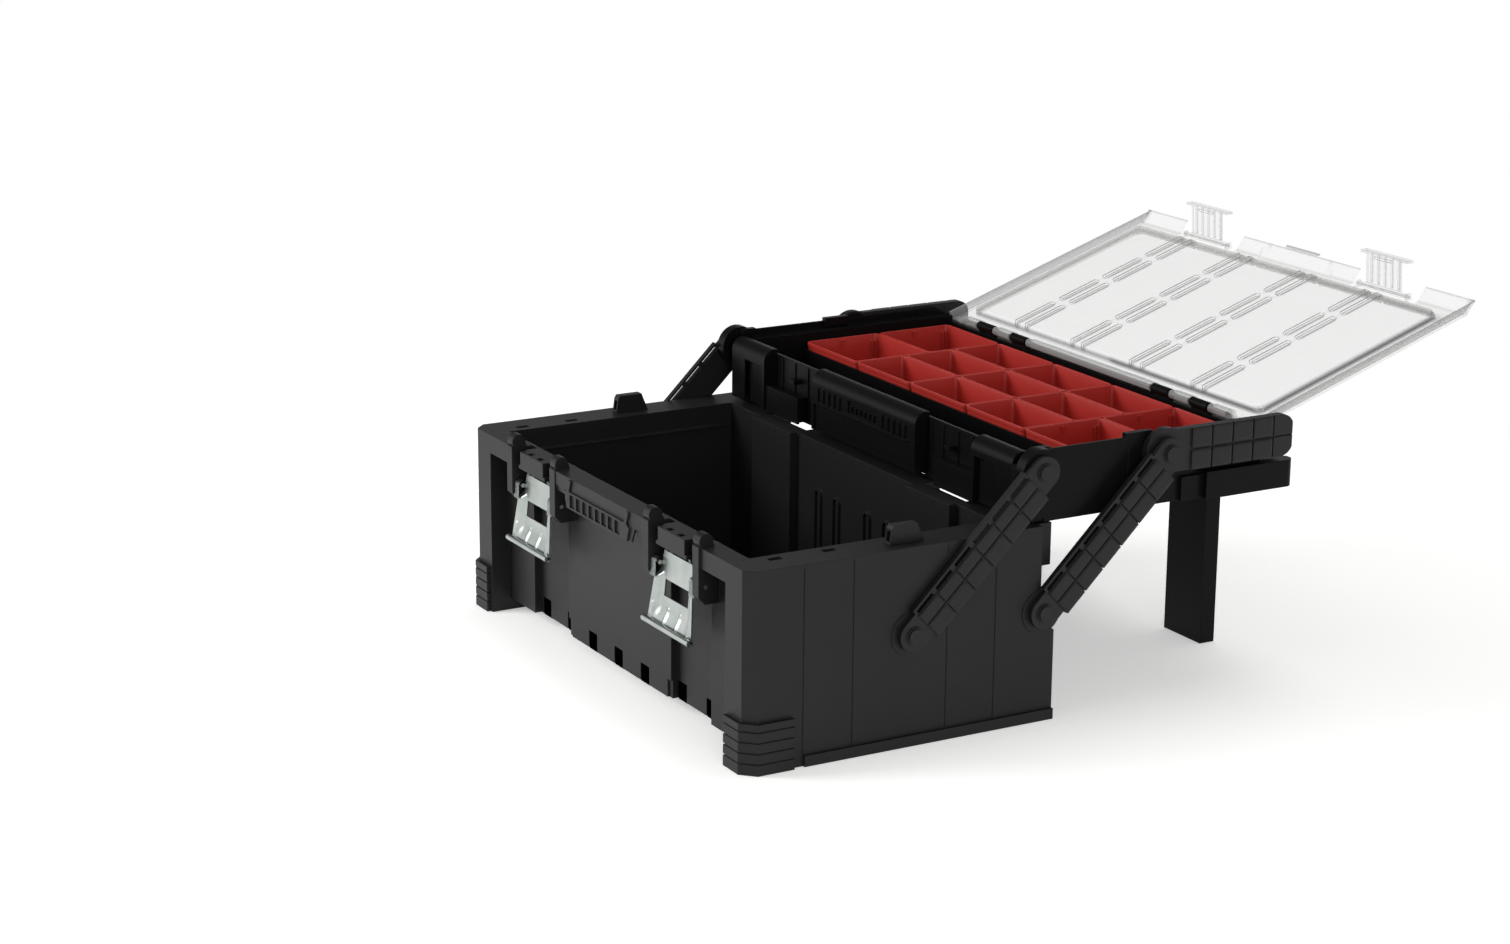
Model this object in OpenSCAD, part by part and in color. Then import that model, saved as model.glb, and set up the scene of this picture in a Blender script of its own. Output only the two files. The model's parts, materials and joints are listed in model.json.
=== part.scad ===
// Cantilever tool box: a deep black base, an upper tray on four swinging arms, red bins and a clear lid.
// X runs across the box, Y from the front to the back, Z up. The origin is the middle of the base's underside.

/* [Base] */
// Width over the base's side walls
body_w = 550; // [420:1:700]
// Depth over the base, front pillar to rear wall
body_d = 311.2; // [240:0.1:400]
// Height of the base's rim
rim_z = 180.4; // [120:0.1:260]
// Wall thickness of the mouldings
wall = 3; // [2:0.1:5]
// Width of the rim at each side of the opening
rim_w = 37; // [22:0.5:60]
// Depth of the rim in front of the opening
front_w = 21.6; // [18:0.1:40]
// Depth of the rim behind the opening
rear_w = 43.6; // [38:0.1:60]
// How far the rear wall's upper half stands in
rear_step = 15.1; // [6:0.1:24]
// Height of the base's floor above the ground
floor_z = 13; // [4:1:40]
// Width of a front corner pillar
pillar_w = 37; // [20:1:60]
// How far a corner foot stands proud of its pillar
foot_proud = 4; // [1:0.5:8]
// Height of a corner foot
foot_h = 46; // [20:1:80]
// Height of the skirt round the sides
skirt_h = 10; // [4:1:20]

/* [Latches] */
// Distance of a latch bay's centre from the middle
bay_x = 140.5; // [100:0.5:180]
// Distance of a latch fin from its bay's centre
fin_dx = 46.5; // [44:0.5:60]
// Thickness of a latch fin
fin_t = 11; // [5:0.5:16]
// How far the metal latches' pivot lies below the rim
latch_below = 35.9; // [25:0.1:50]
// How far the metal latches' pivot lies behind the front face
latch_in = 4.6; // [3:0.1:8]
// Sheet thickness of the metal latches
latch_t = 1.6; // [0.8:0.1:3]
// Length of a metal latch below its pivot
latch_drop = 55; // [30:1:80]
// How far a hanging latch leans out
latch_lean = 6; // [0:1:20]
// Radius of the latch pins
latch_pin_r = 2; // [1:0.1:3]

/* [Cantilever arms] */
// Pivot to pivot length of an arm
arm_len = 184.07; // [120:0.01:240]
// Slope of the open arms above the horizontal
arm_slope = 44.44; // [30:0.01:70]
// Width of an arm
arm_w = 36; // [28:1:50]
// Gap between the base's side wall and an arm
arm_gap = 1.5; // [0.8:0.1:6]
// Thickness of an arm
arm_t = 7; // [4:0.1:12]
// How far the front upper pivot lies behind the tray's front
q_in = 16.3; // [12:0.1:40]
// How far the rear lower pivot stands in front of the base's rear face
piv_in = 14.46; // [8:0.01:40]
// Height of the upper pivots above the tray's underside
q_up = 49.78; // [30:0.01:60]
// Radius of the pivot pins
pin_r = 5; // [3:0.1:7]
// Running clearance round a pin
run_gap = 0.06; // [0.05:0.01:0.1]

/* [Tray] */
// How far the tray's side skins stand inside the base's side walls
tray_side = 9.7; // [6:0.1:20]
// Width of the tray's hollow sides
side_w = 15.3; // [13:0.1:30]
// How far the closed tray's front lies behind the base's front
tray_in = 13.75; // [8:0.05:20]
// How far the closed tray's ledge stays inside the base's rear
ledge_in = 0.45; // [0:0.05:10]
// Depth of the tray's carrying ledge
ledge_w = 33; // [26:0.5:60]
// Gap between the base's rim and the closed tray
tray_gap = 0.6; // [0.4:0.1:6]
// Height of the tray
tray_h = 66; // [50:0.5:90]
// Height of the rear ledge above the tray's underside
ledge_h = 22; // [12:0.5:30]
// Height of the proud blocks at the tray's rear corners
block_h = 25.5; // [15:0.5:26]
// Wall thickness of the tray
tray_wall = 2.5; // [1.5:0.1:4]

/* [Bins] */
// Columns of bins
bin_cols = 5; // [3:1:7]
// Gap between the outer bins and the tray's walls
bin_side = 3; // [1:0.1:10]
// Distance from the tray's front to the bins
trough_w = 82.2; // [50:0.1:110]
// Height of the bins
bin_h = 47.7; // [30:0.1:52]
// Wall of a bin
bin_wall = 1.6; // [0.8:0.1:3]
// Inset of a bin's foot on each side
bin_taper = 2.4; // [0:0.1:6]

/* [Lid] */
// How far the lid's hinge lies in front of the tray's rear wall
hinge_in = 4; // [3:0.1:6]
// How far the lid's hinge lies below the tray's top edge
hinge_drop = 6; // [5.5:0.1:8]
// Angle the lid is laid back from closed
lid_open = 161.5; // [90:0.5:175]
// Gap between the lid's edge and the tray's outer side face
lid_side = 7.8; // [3.2:0.1:10]
// Thickness of the lid's sheet
lid_t = 2.5; // [1.5:0.1:4]
// How far the lid reaches in front of the tray
lid_over = 13; // [8:0.1:20]
// Depth of the sunk panel in the lid
panel_drop = 9.2; // [3:0.1:11]
// How far an open lid latch leans out
lidlatch_lean = 15; // [0:1:30]

/* [Handle and legs] */
// Gap between the tray's side skin and a handle arm
hand_gap = 1; // [0.4:0.1:3]
// Gap between a handle arm and the cantilever arm beside it
hand_play = 1; // [0.4:0.1:3]
// Height of the handle's arms
hand_h = 39; // [34:1:50]
// Gap between the tray's rear wall and the grip
grip_gap = 8.76; // [4:0.01:12]
// Radius of the grip bar
grip_r = 10.3; // [6:0.1:12]
// Distance of a leg's centre from the middle
leg_x = 142.5; // [80:0.5:180]
// Width of a leg
leg_w = 57; // [30:1:60]
// How far a leg stands inside the ledge's rear edge
leg_back = 1.5; // [1.4:0.1:4]
// Depth of a leg
leg_d = 16.5; // [8:0.5:20]

/* [Hidden] */
hw = body_w / 2;
y_f = -body_d / 2;
y_r = body_d / 2;
small = 0.01;
// base
cham = 10.3;
plate_z = rim_z - wall;
skin_in = hw - wall;
tub_hw = hw - rim_w;
tub_out = tub_hw + wall;
tub_front = y_f + front_w;
tub_rear = y_r - rear_w;
rear_up_y = y_r - rear_step;
pil_x = hw - pillar_w - 2;
band_z = rim_z - 18.4;
bay_hw = fin_dx - 6;
bay_deep = 7;
chan_hw = leg_w / 2 + 6;
chan_in = tub_rear - 8;
chan_x0 = leg_x - chan_hw;
chan_x1 = leg_x + chan_hw;
chan_rim = chan_in + 20;
fin_top = rim_z + 12.6;
latch_y = y_f + latch_in;
latch_z = rim_z - latch_below;
notch_x = [0, 52.5, 105, 165];
notch_hw = 8.5;
notch_top = floor_z + 17;
notch_left = 1.2;
// the tray's place, open, worked out from its place on the closed base and the arms' swing
arm_dy = arm_len * cos(arm_slope);
arm_dz = arm_len * sin(arm_slope);
shift = 2 * arm_dy;
tray_hw = hw - tray_side;
in_hw = tray_hw - side_w;
tray_front = y_f + tray_in + shift;
ledge_rear = y_r - ledge_in + shift;
tray_rear = ledge_rear - ledge_w;
tray_z = rim_z + tray_gap;
tray_top = tray_z + tray_h;
ledge_top = tray_z + ledge_h;
block_top = tray_z + block_h;
tw = tray_wall;
// pivots
q_y1 = tray_front + q_in;
q_y2 = y_r - piv_in + arm_dy;
q_z = tray_z + q_up;
piv_y1 = q_y1 - arm_dy;
piv_y2 = q_y2 - arm_dy;
piv_z = q_z - arm_dz;
bore_r = pin_r + run_gap;
seat_r = pin_r + 0.04;
pin_in = hw - 13;
pin_in_up = in_hw + 4;
arm_in = hw + arm_gap;
tile_t = 1.6;
neck_l = 14;
neck_r = arm_w / 2 - 3.5;
// tray front: a bay for each lid latch between the hoods and the grip block
hood_x0 = bay_x - fin_dx;
hood_x1 = bay_x + fin_dx;
dome_r = 12;
dome_d = 13 + tw;
dome_z = tray_top - 3;
front_z = tray_z + 3;
bay_y = tray_front + 13;
bay_top = tray_top - 7;
trough_z = tray_z + 9;
trough_y = tray_front + 29;
ledge_z = tray_top - 7;
pocket_x0 = hood_x1 + 5;
pocket_x1 = tray_hw - 39;
block_y = ledge_rear - 100;
block_r = 8;
// bins
part_y = tray_front + trough_w - 2.7;
bin_px = (2 * in_hw - 2 * bin_side) / bin_cols;
bin_y0 = tray_front + trough_w;
bin_x0 = -bin_cols * bin_px / 2;
bin_z = tray_z + 3.3;
bin_top = bin_z + bin_h;
bin_gap = 0.6;
// lid
hinge_y = tray_rear - hinge_in;
hinge_z = tray_top - hinge_drop;
rod_r = 1.5;
knuckle_r = 4.4;
post_x = [in_hw - 130, in_hw - 70];
post_hw = 13;
knuckle_gap = 2.6;
bin_field = hinge_y - knuckle_r - 0.4 - bin_y0;
lid_hw = tray_hw - lid_side;
lid_top = tray_top + 3.5;
lid_front = tray_front - lid_over;
lid_back = hinge_y - 3.6;
lip_z = lid_top - 12.5;
cut_hw = fin_dx + 2.5;
latchpin_y = lid_front + 15;
latchpin_z = lid_top - 4.1;
panel_x = lid_hw - 19.5;
panel_y0 = lid_front + 32;
panel_y1 = hinge_y - 22;
panel_z = lid_top - lid_t - panel_drop;
panel_r = 8;
// handle and legs
hand_in = tray_hw + hand_gap;
hand_t = arm_in - hand_in - hand_play;
grip_y = tray_rear + grip_gap + grip_r;
grip_z = ledge_top + 5.18 + grip_r;
hand_len = grip_y - q_y2 + 10;
leg_y = ledge_rear - leg_back - leg_d;

// ---- helpers ----

// A box from two corners
module box(a, b) {
  translate(a)
    cube([b[0] - a[0], b[1] - a[1], b[2] - a[2]]);
}

// The same shape on both sides of the middle
module both() {
  children();
  mirror([1, 0, 0])
    children();
}

// A profile drawn in Y and Z, pushed along X from x0 to x1
module along_x(x0, x1) {
  translate([x0, 0, 0])
    rotate([90, 0, 90])
      linear_extrude(x1 - x0)
        children();
}

// A profile drawn in X and Z, pushed along Y from y0 to y1
module along_y(y0, y1) {
  translate([0, y1, 0])
    rotate([90, 0, 0])
      linear_extrude(y1 - y0)
        children();
}

// A rectangle from two corners
module rect(a, b) {
  translate(a)
    square([b[0] - a[0], b[1] - a[1]]);
}

// A rectangle with round corners
module round_rect(a, b, r) {
  rect([a[0] + r, a[1]], [b[0] - r, b[1]]);
  rect([a[0], a[1] + r], [b[0], b[1] - r]);
  for (x = [a[0] + r, b[0] - r])
    for (y = [a[1] + r, b[1] - r])
      translate([x, y])
        circle(r = r, $fn = 32);
}

// A round bar along X
module bar_x(x0, x1, y, z, r, fn = 48) {
  translate([x0, y, z])
    rotate([0, 90, 0])
      cylinder(h = x1 - x0, r = r, $fn = fn);
}

// ---- base ----

// Plan of the space inside the base
module tub_space(bays) {
  difference() {
    translate([-tub_hw, tub_front])
      square([2 * tub_hw, tub_rear - tub_front]);
    if (bays)
      for (s = [-1, 1])
        translate([s * bay_x - bay_hw, tub_front - 1])
          square([2 * bay_hw, bay_deep + 1]);
    for (s = [-1, 1])
      translate([s * leg_x - chan_hw - wall, chan_in])
        square([2 * (chan_hw + wall), 20]);
  }
}

// Plan of the outside of the inner walls
module tub_shape(bays) {
  difference() {
    translate([-tub_out, tub_front - wall])
      square([2 * tub_out, tub_rear - tub_front + 2 * wall]);
    if (bays)
      for (s = [-1, 1])
        translate([s * bay_x - bay_hw + wall, tub_front - wall - 1])
          square([2 * (bay_hw - wall), bay_deep + 1]);
    for (s = [-1, 1])
      translate([s * leg_x - chan_hw, chan_in + wall])
        square([2 * chan_hw, 20]);
  }
}

module pillar_plan() {
  polygon([[pil_x, y_f], [hw - cham, y_f], [hw, y_f + cham], [hw, y_f + 20], [pil_x, tub_front - wall]]);
}

module pillar_hollow() {
  polygon([[pil_x + wall, y_f + wall], [hw - cham - 1.2, y_f + wall], [skin_in, y_f + cham + 1.2],
    [skin_in, y_f + 21], [pil_x + wall, y_f + 21]]);
}

// Plan of a corner foot, inset by e
module foot_plan(e) {
  p = foot_proud - e;
  polygon([[pil_x + 4 + e, y_f - p], [hw - cham + p * 0.4, y_f - p], [hw + p, y_f + cham - p * 0.4],
    [hw + p, y_f + 44.6 - e], [hw - 1, y_f + 44.6 - e], [hw - 1, y_f + cham + 1], [hw - cham - 1, y_f + 1],
    [pil_x + 4 + e, y_f + 1]]);
}

module foot() {
  difference() {
    linear_extrude(foot_h)
      foot_plan(0);
    for (k = [1:4])
      translate([0, 0, k * 9.6])
        linear_extrude(1.6)
          difference() {
            translate([pil_x - 5, y_f - 10])
              square([60, 60]);
            foot_plan(1.2);
          }
  }
  // inner block that carries the foot back under the box
  box([pil_x, y_f, 0], [pil_x + wall, y_f + 44, foot_h]);
  box([pil_x, y_f + 41, 0], [skin_in + 1, y_f + 44, foot_h]);
  box([pil_x + 1, y_f + 12, 0], [skin_in + 1, y_f + 43, wall]);
}

module rear_profile() {
  polygon([[rear_up_y - wall, plate_z], [rear_up_y, plate_z], [rear_up_y, 95], [y_r, 83], [y_r, 0],
    [y_r - wall, 0], [y_r - wall, 81.5], [rear_up_y - wall, 93.5]]);
}

module rear_cheek() {
  polygon([[chan_in + 1, floor_z], [y_r - wall - 5, floor_z], [y_r - wall, 0], [y_r - small, 0], [y_r - small, 83],
    [rear_up_y - small, 95], [rear_up_y - small, plate_z], [chan_in + 1, plate_z]]);
}

module side_profile() {
  polygon([[y_f + cham, 0], [y_r, 0], [y_r, 83], [rear_up_y, 95], [rear_up_y, plate_z], [y_f + cham, plate_z]]);
}

module rim_plate() {
  difference() {
    polygon([[-hw, y_f + cham], [-hw + cham, y_f], [hw - cham, y_f], [hw, y_f + cham], [hw, rear_up_y],
      [-hw, rear_up_y]]);
    tub_space(false);
    for (s = [-1, 1]) {
      translate([s * bay_x - fin_dx + fin_t / 2, y_f - 1])
        square([2 * fin_dx - fin_t, tub_front - wall - y_f + 1]);
      translate([s * leg_x - chan_hw, chan_rim])
        square([2 * chan_hw, 40]);
      // small sockets that locate the closed tray
      for (y = [y_f + 40.6, y_f + 93.6])
        translate([s * (tub_hw + 10.5) - 3.5, y - 6.5])
          square([7, 13]);
    }
  }
}

module fin(x) {
  fin_y = y_f - 2.4;
  fin_low = latch_z - 15.5;
  fin_back = tub_front - wall + bay_deep / 2;
  difference() {
    union() {
      along_x(x - fin_t / 2, x + fin_t / 2) {
        polygon([[fin_y, fin_low + 7], [fin_y + 6, fin_low], [fin_back, fin_low], [fin_back, rim_z],
          [latch_y + 9, rim_z], [latch_y + 7, fin_top - 7.5], [fin_y, fin_top - 12]]);
        translate([latch_y + 0.6, fin_top - 7.5])
          circle(r = 6.9, $fn = 48);
      }
    }
    bar_x(x - fin_t / 2 - 1, x + fin_t / 2 + 1, latch_y, latch_z, latch_pin_r + run_gap, 32);
  }
}

// Boss behind a lower pivot, from x0 out to the ring that the arm runs on
module pivot_boss(x0, y) {
  bar_x(x0, skin_in + 1, y, piv_z, 10);
  bar_x(skin_in + 0.5, arm_in - 0.3, y, piv_z, 20, 64);
}

module base_side() {
  difference() {
    union() {
      along_x(skin_in, hw)
        side_profile();
      // skirt
      box([hw - 1, y_f + 55, 0], [hw + 3, y_r, skirt_h]);
      // ribs between the two walls
      for (y = [y_f + 55.6, y_f + 108.6, y_r - 107.6, y_r - 57.6])
        box([tub_out - 1, y, floor_z], [skin_in + 1, y + 2.5, plate_z + 1]);
      pivot_boss(tub_out - 1, piv_y1);
      pivot_boss(pin_in - 3, piv_y2);
      // rear wall beside the leg channel, with a bracket near the corner
      along_x(chan_x1 + small, skin_in + 1)
        rear_profile();
      box([hw - 17, rear_up_y - 1, rim_z - 39.4], [hw - 9, y_r, rim_z - 0.5]);
    }
    // panel lines down the side
    for (y = [y_f + 53.6, y_f + 102.6, y_r - 113.6])
      box([hw - 0.8, y, skirt_h + 1], [hw + 5, y + 1.2, plate_z]);
    box([hw - 0.8, y_r - 63.6, skirt_h + 1], [hw + 5, y_r - 62.4, rim_z - 30.4]);
    for (y = [piv_y1, piv_y2])
      bar_x(pin_in, hw + 5, y, piv_z, seat_r, 64);
  }
}

// Outline of a guide: an upright with a round top, half width r
module guide_plan(x, r) {
  top = rim_z - 52.4;
  rect([x - r, floor_z + 7 - r], [x + r, top]);
  translate([x, top])
    circle(r = r, $fn = 32);
}

module base_tub() {
  color("#1d1e20") {
    difference() {
      union() {
        // floor and inner walls, with the latch bays pressed in below the rim band
        translate([0, 0, floor_z])
          linear_extrude(wall)
            tub_shape(true);
        translate([0, 0, floor_z])
          linear_extrude(band_z - floor_z)
            difference() {
              tub_shape(true);
              tub_space(true);
            }
        translate([0, 0, band_z - wall])
          linear_extrude(wall)
            for (s = [-1, 1])
              translate([s * bay_x - bay_hw, tub_front - wall])
                square([2 * bay_hw, wall + bay_deep]);
        translate([0, 0, band_z - small])
          linear_extrude(plate_z - band_z + 2 * small)
            difference() {
              tub_shape(false);
              tub_space(false);
            }
        translate([0, 0, plate_z])
          linear_extrude(wall)
            rim_plate();
      }
      // notches along the foot of the front wall, which leave a thin wall behind them
      both() {
        for (x = notch_x)
          box([x - notch_hw, tub_front - wall - 1, floor_z - 1], [x + notch_hw, tub_front - notch_left, notch_top]);
        for (x = [bay_x - bay_hw + wall + notch_hw, notch_x[3]])
          box([x - notch_hw, tub_front - wall - 1, floor_z - 1],
            [x + notch_hw, tub_front + bay_deep - notch_left, notch_top]);
      }
    }
    // foot under the middle of the floor
    cylinder(h = floor_z + 1, r = 22, $fn = 64);
    // rim band across the front
    box([-bay_x + fin_dx, y_f, band_z], [bay_x - fin_dx, y_f + wall, plate_z + 1]);
    both() {
      box([bay_x + fin_dx, y_f, band_z], [pil_x + 1, y_f + wall, plate_z + 1]);
      fin(bay_x - fin_dx);
      fin(bay_x + fin_dx);
      linear_extrude(plate_z + 1)
        difference() {
          pillar_plan();
          pillar_hollow();
        }
      foot();
      base_side();
      along_x(chan_x1, chan_x1 + wall)
        rear_cheek();
      along_x(chan_x0 - wall, chan_x0)
        rear_cheek();
      // ledge under the rim inside
      box([tub_hw - 4, tub_front + 1, rim_z - 22.4], [tub_hw + 1, tub_rear - 1, rim_z - 20.4]);
    }
    along_x(-chan_x0 + small, chan_x0 - small)
      rear_profile();
    // guides with round tops on the rear wall inside
    for (x = [-62, -28, 28, 62])
      along_y(tub_rear - 2.4, tub_rear + 1)
        difference() {
          guide_plan(x, 6);
          guide_plan(x, 4.2);
        }
  }
}

// A hook that stands up into the closed tray's hollow side
module rim_hook() {
  x0 = in_hw + tw + 0.7;
  x1 = tray_hw - tw - 0.7;
  y = q_y1 - shift + 120;
  difference() {
    along_x(x0, x1)
      polygon([[y - 4, rim_z], [y - 2, rim_z + 14], [y, rim_z + 17], [y + 24, rim_z + 17], [y + 26, rim_z + 12],
        [y + 31, rim_z]]);
    box([x0 + 1.6, y - 8, rim_z + 2.5], [x1 - 1.6, y + 11, rim_z + 12]);
  }
}

module rim_hook_right() {
  color("#1d1e20")
    rim_hook();
}

module rim_hook_left() {
  color("#1d1e20")
    mirror([1, 0, 0])
      rim_hook();
}

module latch_block() {
  difference() {
    box([bay_x - 28, y_f - 1.4, band_z + 1.5], [bay_x + 28, tub_front - wall, rim_z]);
    for (d = [-10, 10])
      box([bay_x + d - 4, latch_y - 4, rim_z - 9], [bay_x + d + 4, latch_y + 2, rim_z + 1]);
    for (d = [-28.5, 24.5])
      box([bay_x + d, y_f - 2, band_z + 5], [bay_x + d + 4, y_f + 6, rim_z + 1]);
  }
}

module latch_block_right() {
  color("#1d1e20")
    latch_block();
}

module latch_block_left() {
  color("#1d1e20")
    mirror([1, 0, 0])
      latch_block();
}

// A plain panel between the latch bays, with a ribbed strip along its foot
module label_panel() {
  x1 = bay_x - fin_dx - fin_t / 2 - 0.5;
  z = rim_z;
  color("#1d1e20") {
    along_y(y_f - 1.6, y_f)
      polygon([[-x1, z], [x1, z], [x1, z - 12], [72, z - 15], [66, z - 28.4], [-64, z - 28.4], [-70, z - 15],
        [-x1, z - 12]]);
    // frame of the ribbed strip
    along_y(y_f - 3.4, y_f - 1.6)
      difference() {
        polygon([[-66, z - 12.4], [58, z - 12.4], [64, z - 16], [60, z - 28.4], [-62, z - 28.4]]);
        for (k = [0:7])
          rect([-55 + k * 13, z - 26.4], [-45 + k * 13, z - 14.4]);
      }
    // slanted bars at the ends of the plain field
    along_y(y_f - 3.4, y_f - 1.6)
      for (x = [-62, 54])
        polygon([[x, z - 12.4], [x + 5, z - 12.4], [x + 9, z - 1.4], [x + 4, z - 1.4]]);
  }
}

// A sheet-steel latch, drawn hanging straight down from its pivot at the origin
module latch_sheet() {
  difference() {
    union() {
      along_y(-latch_t, 0)
        polygon([[-30, 17.4], [30, 17.4], [31, -2], [36, -9], [41, -latch_drop], [-41, -latch_drop], [-36, -9],
          [-31, -2]]);
      // bottom lip, rolled out
      box([-43, -6.5, -latch_drop - latch_t], [43, 0, -latch_drop]);
      bar_x(-43, 43, -6.5, -latch_drop - latch_t / 2, latch_t / 2, 24);
      // embossed ribs
      for (x = [-30, -10, 10, 30])
        bar_z(x, -latch_t, -latch_drop + 2, -30, 2);
      for (x = [-27, 27])
        bar_z(x, -latch_t, -24, 15, 1.5);
      // rolled eyes round the pin
      for (x = [-40.4, 31.4])
        bar_x(x, x + 9, 0, 0, 4);
      for (x = [-40.4, 31.4])
        box([x, -latch_t, -6], [x + 9, 0, 0]);
    }
    box([-22, -5, -24], [22, 5, -6]);
    bar_x(-50, 50, 0, 0, latch_pin_r + run_gap, 32);
  }
}

// A round rib standing along Z
module bar_z(x, y, z0, z1, r) {
  translate([x, y, z0])
    cylinder(h = z1 - z0, r = r, $fn = 24);
}

module latch_plate() {
  translate([bay_x, latch_y, latch_z])
    rotate([-latch_lean, 0, 0])
      latch_sheet();
}

module latch_plate_right() {
  color("#c9cccb")
    latch_plate();
}

module latch_plate_left() {
  color("#c9cccb")
    translate([-2 * bay_x, 0, 0])
      latch_plate();
}

module latch_pins() {
  color("#9fa3a4")
    both()
      bar_x(bay_x - fin_dx - fin_t / 2, bay_x + fin_dx + fin_t / 2, latch_y, latch_z, latch_pin_r, 32);
}

// ---- arms ----

// Outline of an arm with a narrower neck at each end
module arm_plan() {
  r = arm_w / 2;
  rect([0, -neck_r], [arm_len, neck_r]);
  rect([neck_l, -r], [arm_len - neck_l, r]);
  for (y = [0, arm_len])
    translate([y, 0])
      circle(r = neck_r, $fn = 64);
}

// One arm, its lower pivot at the origin, lying along +Y, outer face away from the box
module arm_shape() {
  r = arm_w / 2;
  face = arm_t - tile_t;
  rows = 6;
  pitch = (arm_len - 2 * neck_l) / rows;
  difference() {
    union() {
      along_x(0, face)
        arm_plan();
      // raised tiles, two to a row
      for (k = [0:rows - 1])
        for (c = [0, 1])
          box([face - small, neck_l + k * pitch + 0.6, c == 0 ? -r - 0.5 : -1],
            [arm_t, neck_l + (k + 1) * pitch - 0.6, c == 0 ? -2.2 : r - 6.8]);
      for (y = [0, arm_len])
        bar_x(face - small, arm_t, y, 0, 8.6, 48);
    }
    // slot along the leading edge, bridged between the tiles
    for (k = [0:rows - 1])
      box([-1, neck_l + k * pitch + 2.6, r - 6], [arm_t + 1, neck_l + (k + 1) * pitch - 2.6, r - 2.4]);
    for (y = [0, arm_len])
      bar_x(-1, arm_t + 1, y, 0, bore_r, 64);
  }
}

module arm_at(y) {
  translate([arm_in, y, piv_z])
    rotate([arm_slope, 0, 0])
      arm_shape();
}

module arm_front_right() {
  color("#232426")
    arm_at(piv_y1);
}

module arm_rear_right() {
  color("#232426")
    arm_at(piv_y2);
}

module arm_front_left() {
  color("#232426")
    mirror([1, 0, 0])
      arm_at(piv_y1);
}

module arm_rear_left() {
  color("#232426")
    mirror([1, 0, 0])
      arm_at(piv_y2);
}

// A pin with a flat head outside the arm
module pivot_pin(x0, y, z) {
  bar_x(x0, arm_in + arm_t + 0.4, y, z, pin_r, 64);
  bar_x(arm_in + arm_t + 0.3, arm_in + arm_t + 1.5, y, z, pin_r + 2.2, 48);
}

module lower_pivot_pins() {
  color("#2a2b2d")
    both() {
      pivot_pin(pin_in, piv_y1, piv_z);
      pivot_pin(pin_in, piv_y2, piv_z);
    }
}

module upper_pivot_pins() {
  color("#2a2b2d")
    both() {
      pivot_pin(pin_in_up, q_y1, q_z);
      pivot_pin(pin_in_up, q_y2, q_z);
    }
}

// ---- tray ----

// Section of the tray's domed front edge, inset by e, down to z0
module dome(e, z0) {
  zc = dome_z - dome_r;
  rect([tray_front + e, z0], [tray_front + dome_d - e, zc]);
  intersection() {
    translate([tray_front + dome_r, zc])
      circle(r = dome_r - e, $fn = 96);
    rect([tray_front + e, zc - small], [tray_front + dome_d - e, dome_z]);
  }
}

module dome_shell(z0) {
  difference() {
    dome(0, z0);
    dome(tw, z0 - 1);
  }
}

module tray_side_profile() {
  f = tray_front;
  polygon([[f + 10, front_z], [f + 27, front_z], [f + 27, tray_z], [tray_rear, tray_z],
    [tray_rear, tray_top - 9], [tray_rear - 13, tray_top], [f + 10, tray_top]]);
}

// Boss at an upper pivot: slim under the closed lid's skirt, wide outside the skin
module upper_boss(y, x1) {
  bar_x(in_hw + tw - 1, tray_hw, y, q_z, 9);
  bar_x(tray_hw - 1, x1, y, q_z, 20, 64);
}

// Plan of the proud block at a rear corner of the tray, inset by e
module block_plan(e) {
  r = block_r;
  rect([tray_hw - tw - e, block_y + e], [hw - r, ledge_rear - e]);
  rect([tray_hw - tw - e, block_y + e], [hw - e, ledge_rear - r]);
  translate([hw - r, ledge_rear - r])
    circle(r = r - e, $fn = 48);
}

module corner_block() {
  difference() {
    translate([0, 0, tray_z])
      linear_extrude(block_h)
        block_plan(0);
    translate([0, 0, tray_z - 1])
      linear_extrude(block_h - tw + 1)
        block_plan(tw);
  }
  difference() {
    box([tray_hw - 1, block_y - 24, tray_z], [tray_hw + 4, block_y + small, block_top - 3]);
    box([tray_hw - 2, block_y - 22, tray_z - 1], [tray_hw + 2, block_y + 2, block_top - 5]);
  }
}

// Front corner of the tray, cut across
module front_corner() {
  f = tray_front;
  translate([0, 0, front_z])
    linear_extrude(tray_top - 13 - front_z)
      polygon([[tray_hw - 13, f], [tray_hw, f + 11], [tray_hw, f + 14], [tray_hw - tw, f + 14],
        [tray_hw - tw, f + 12], [tray_hw - 14, f + tw], [tray_hw - 16, f]]);
}

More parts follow.
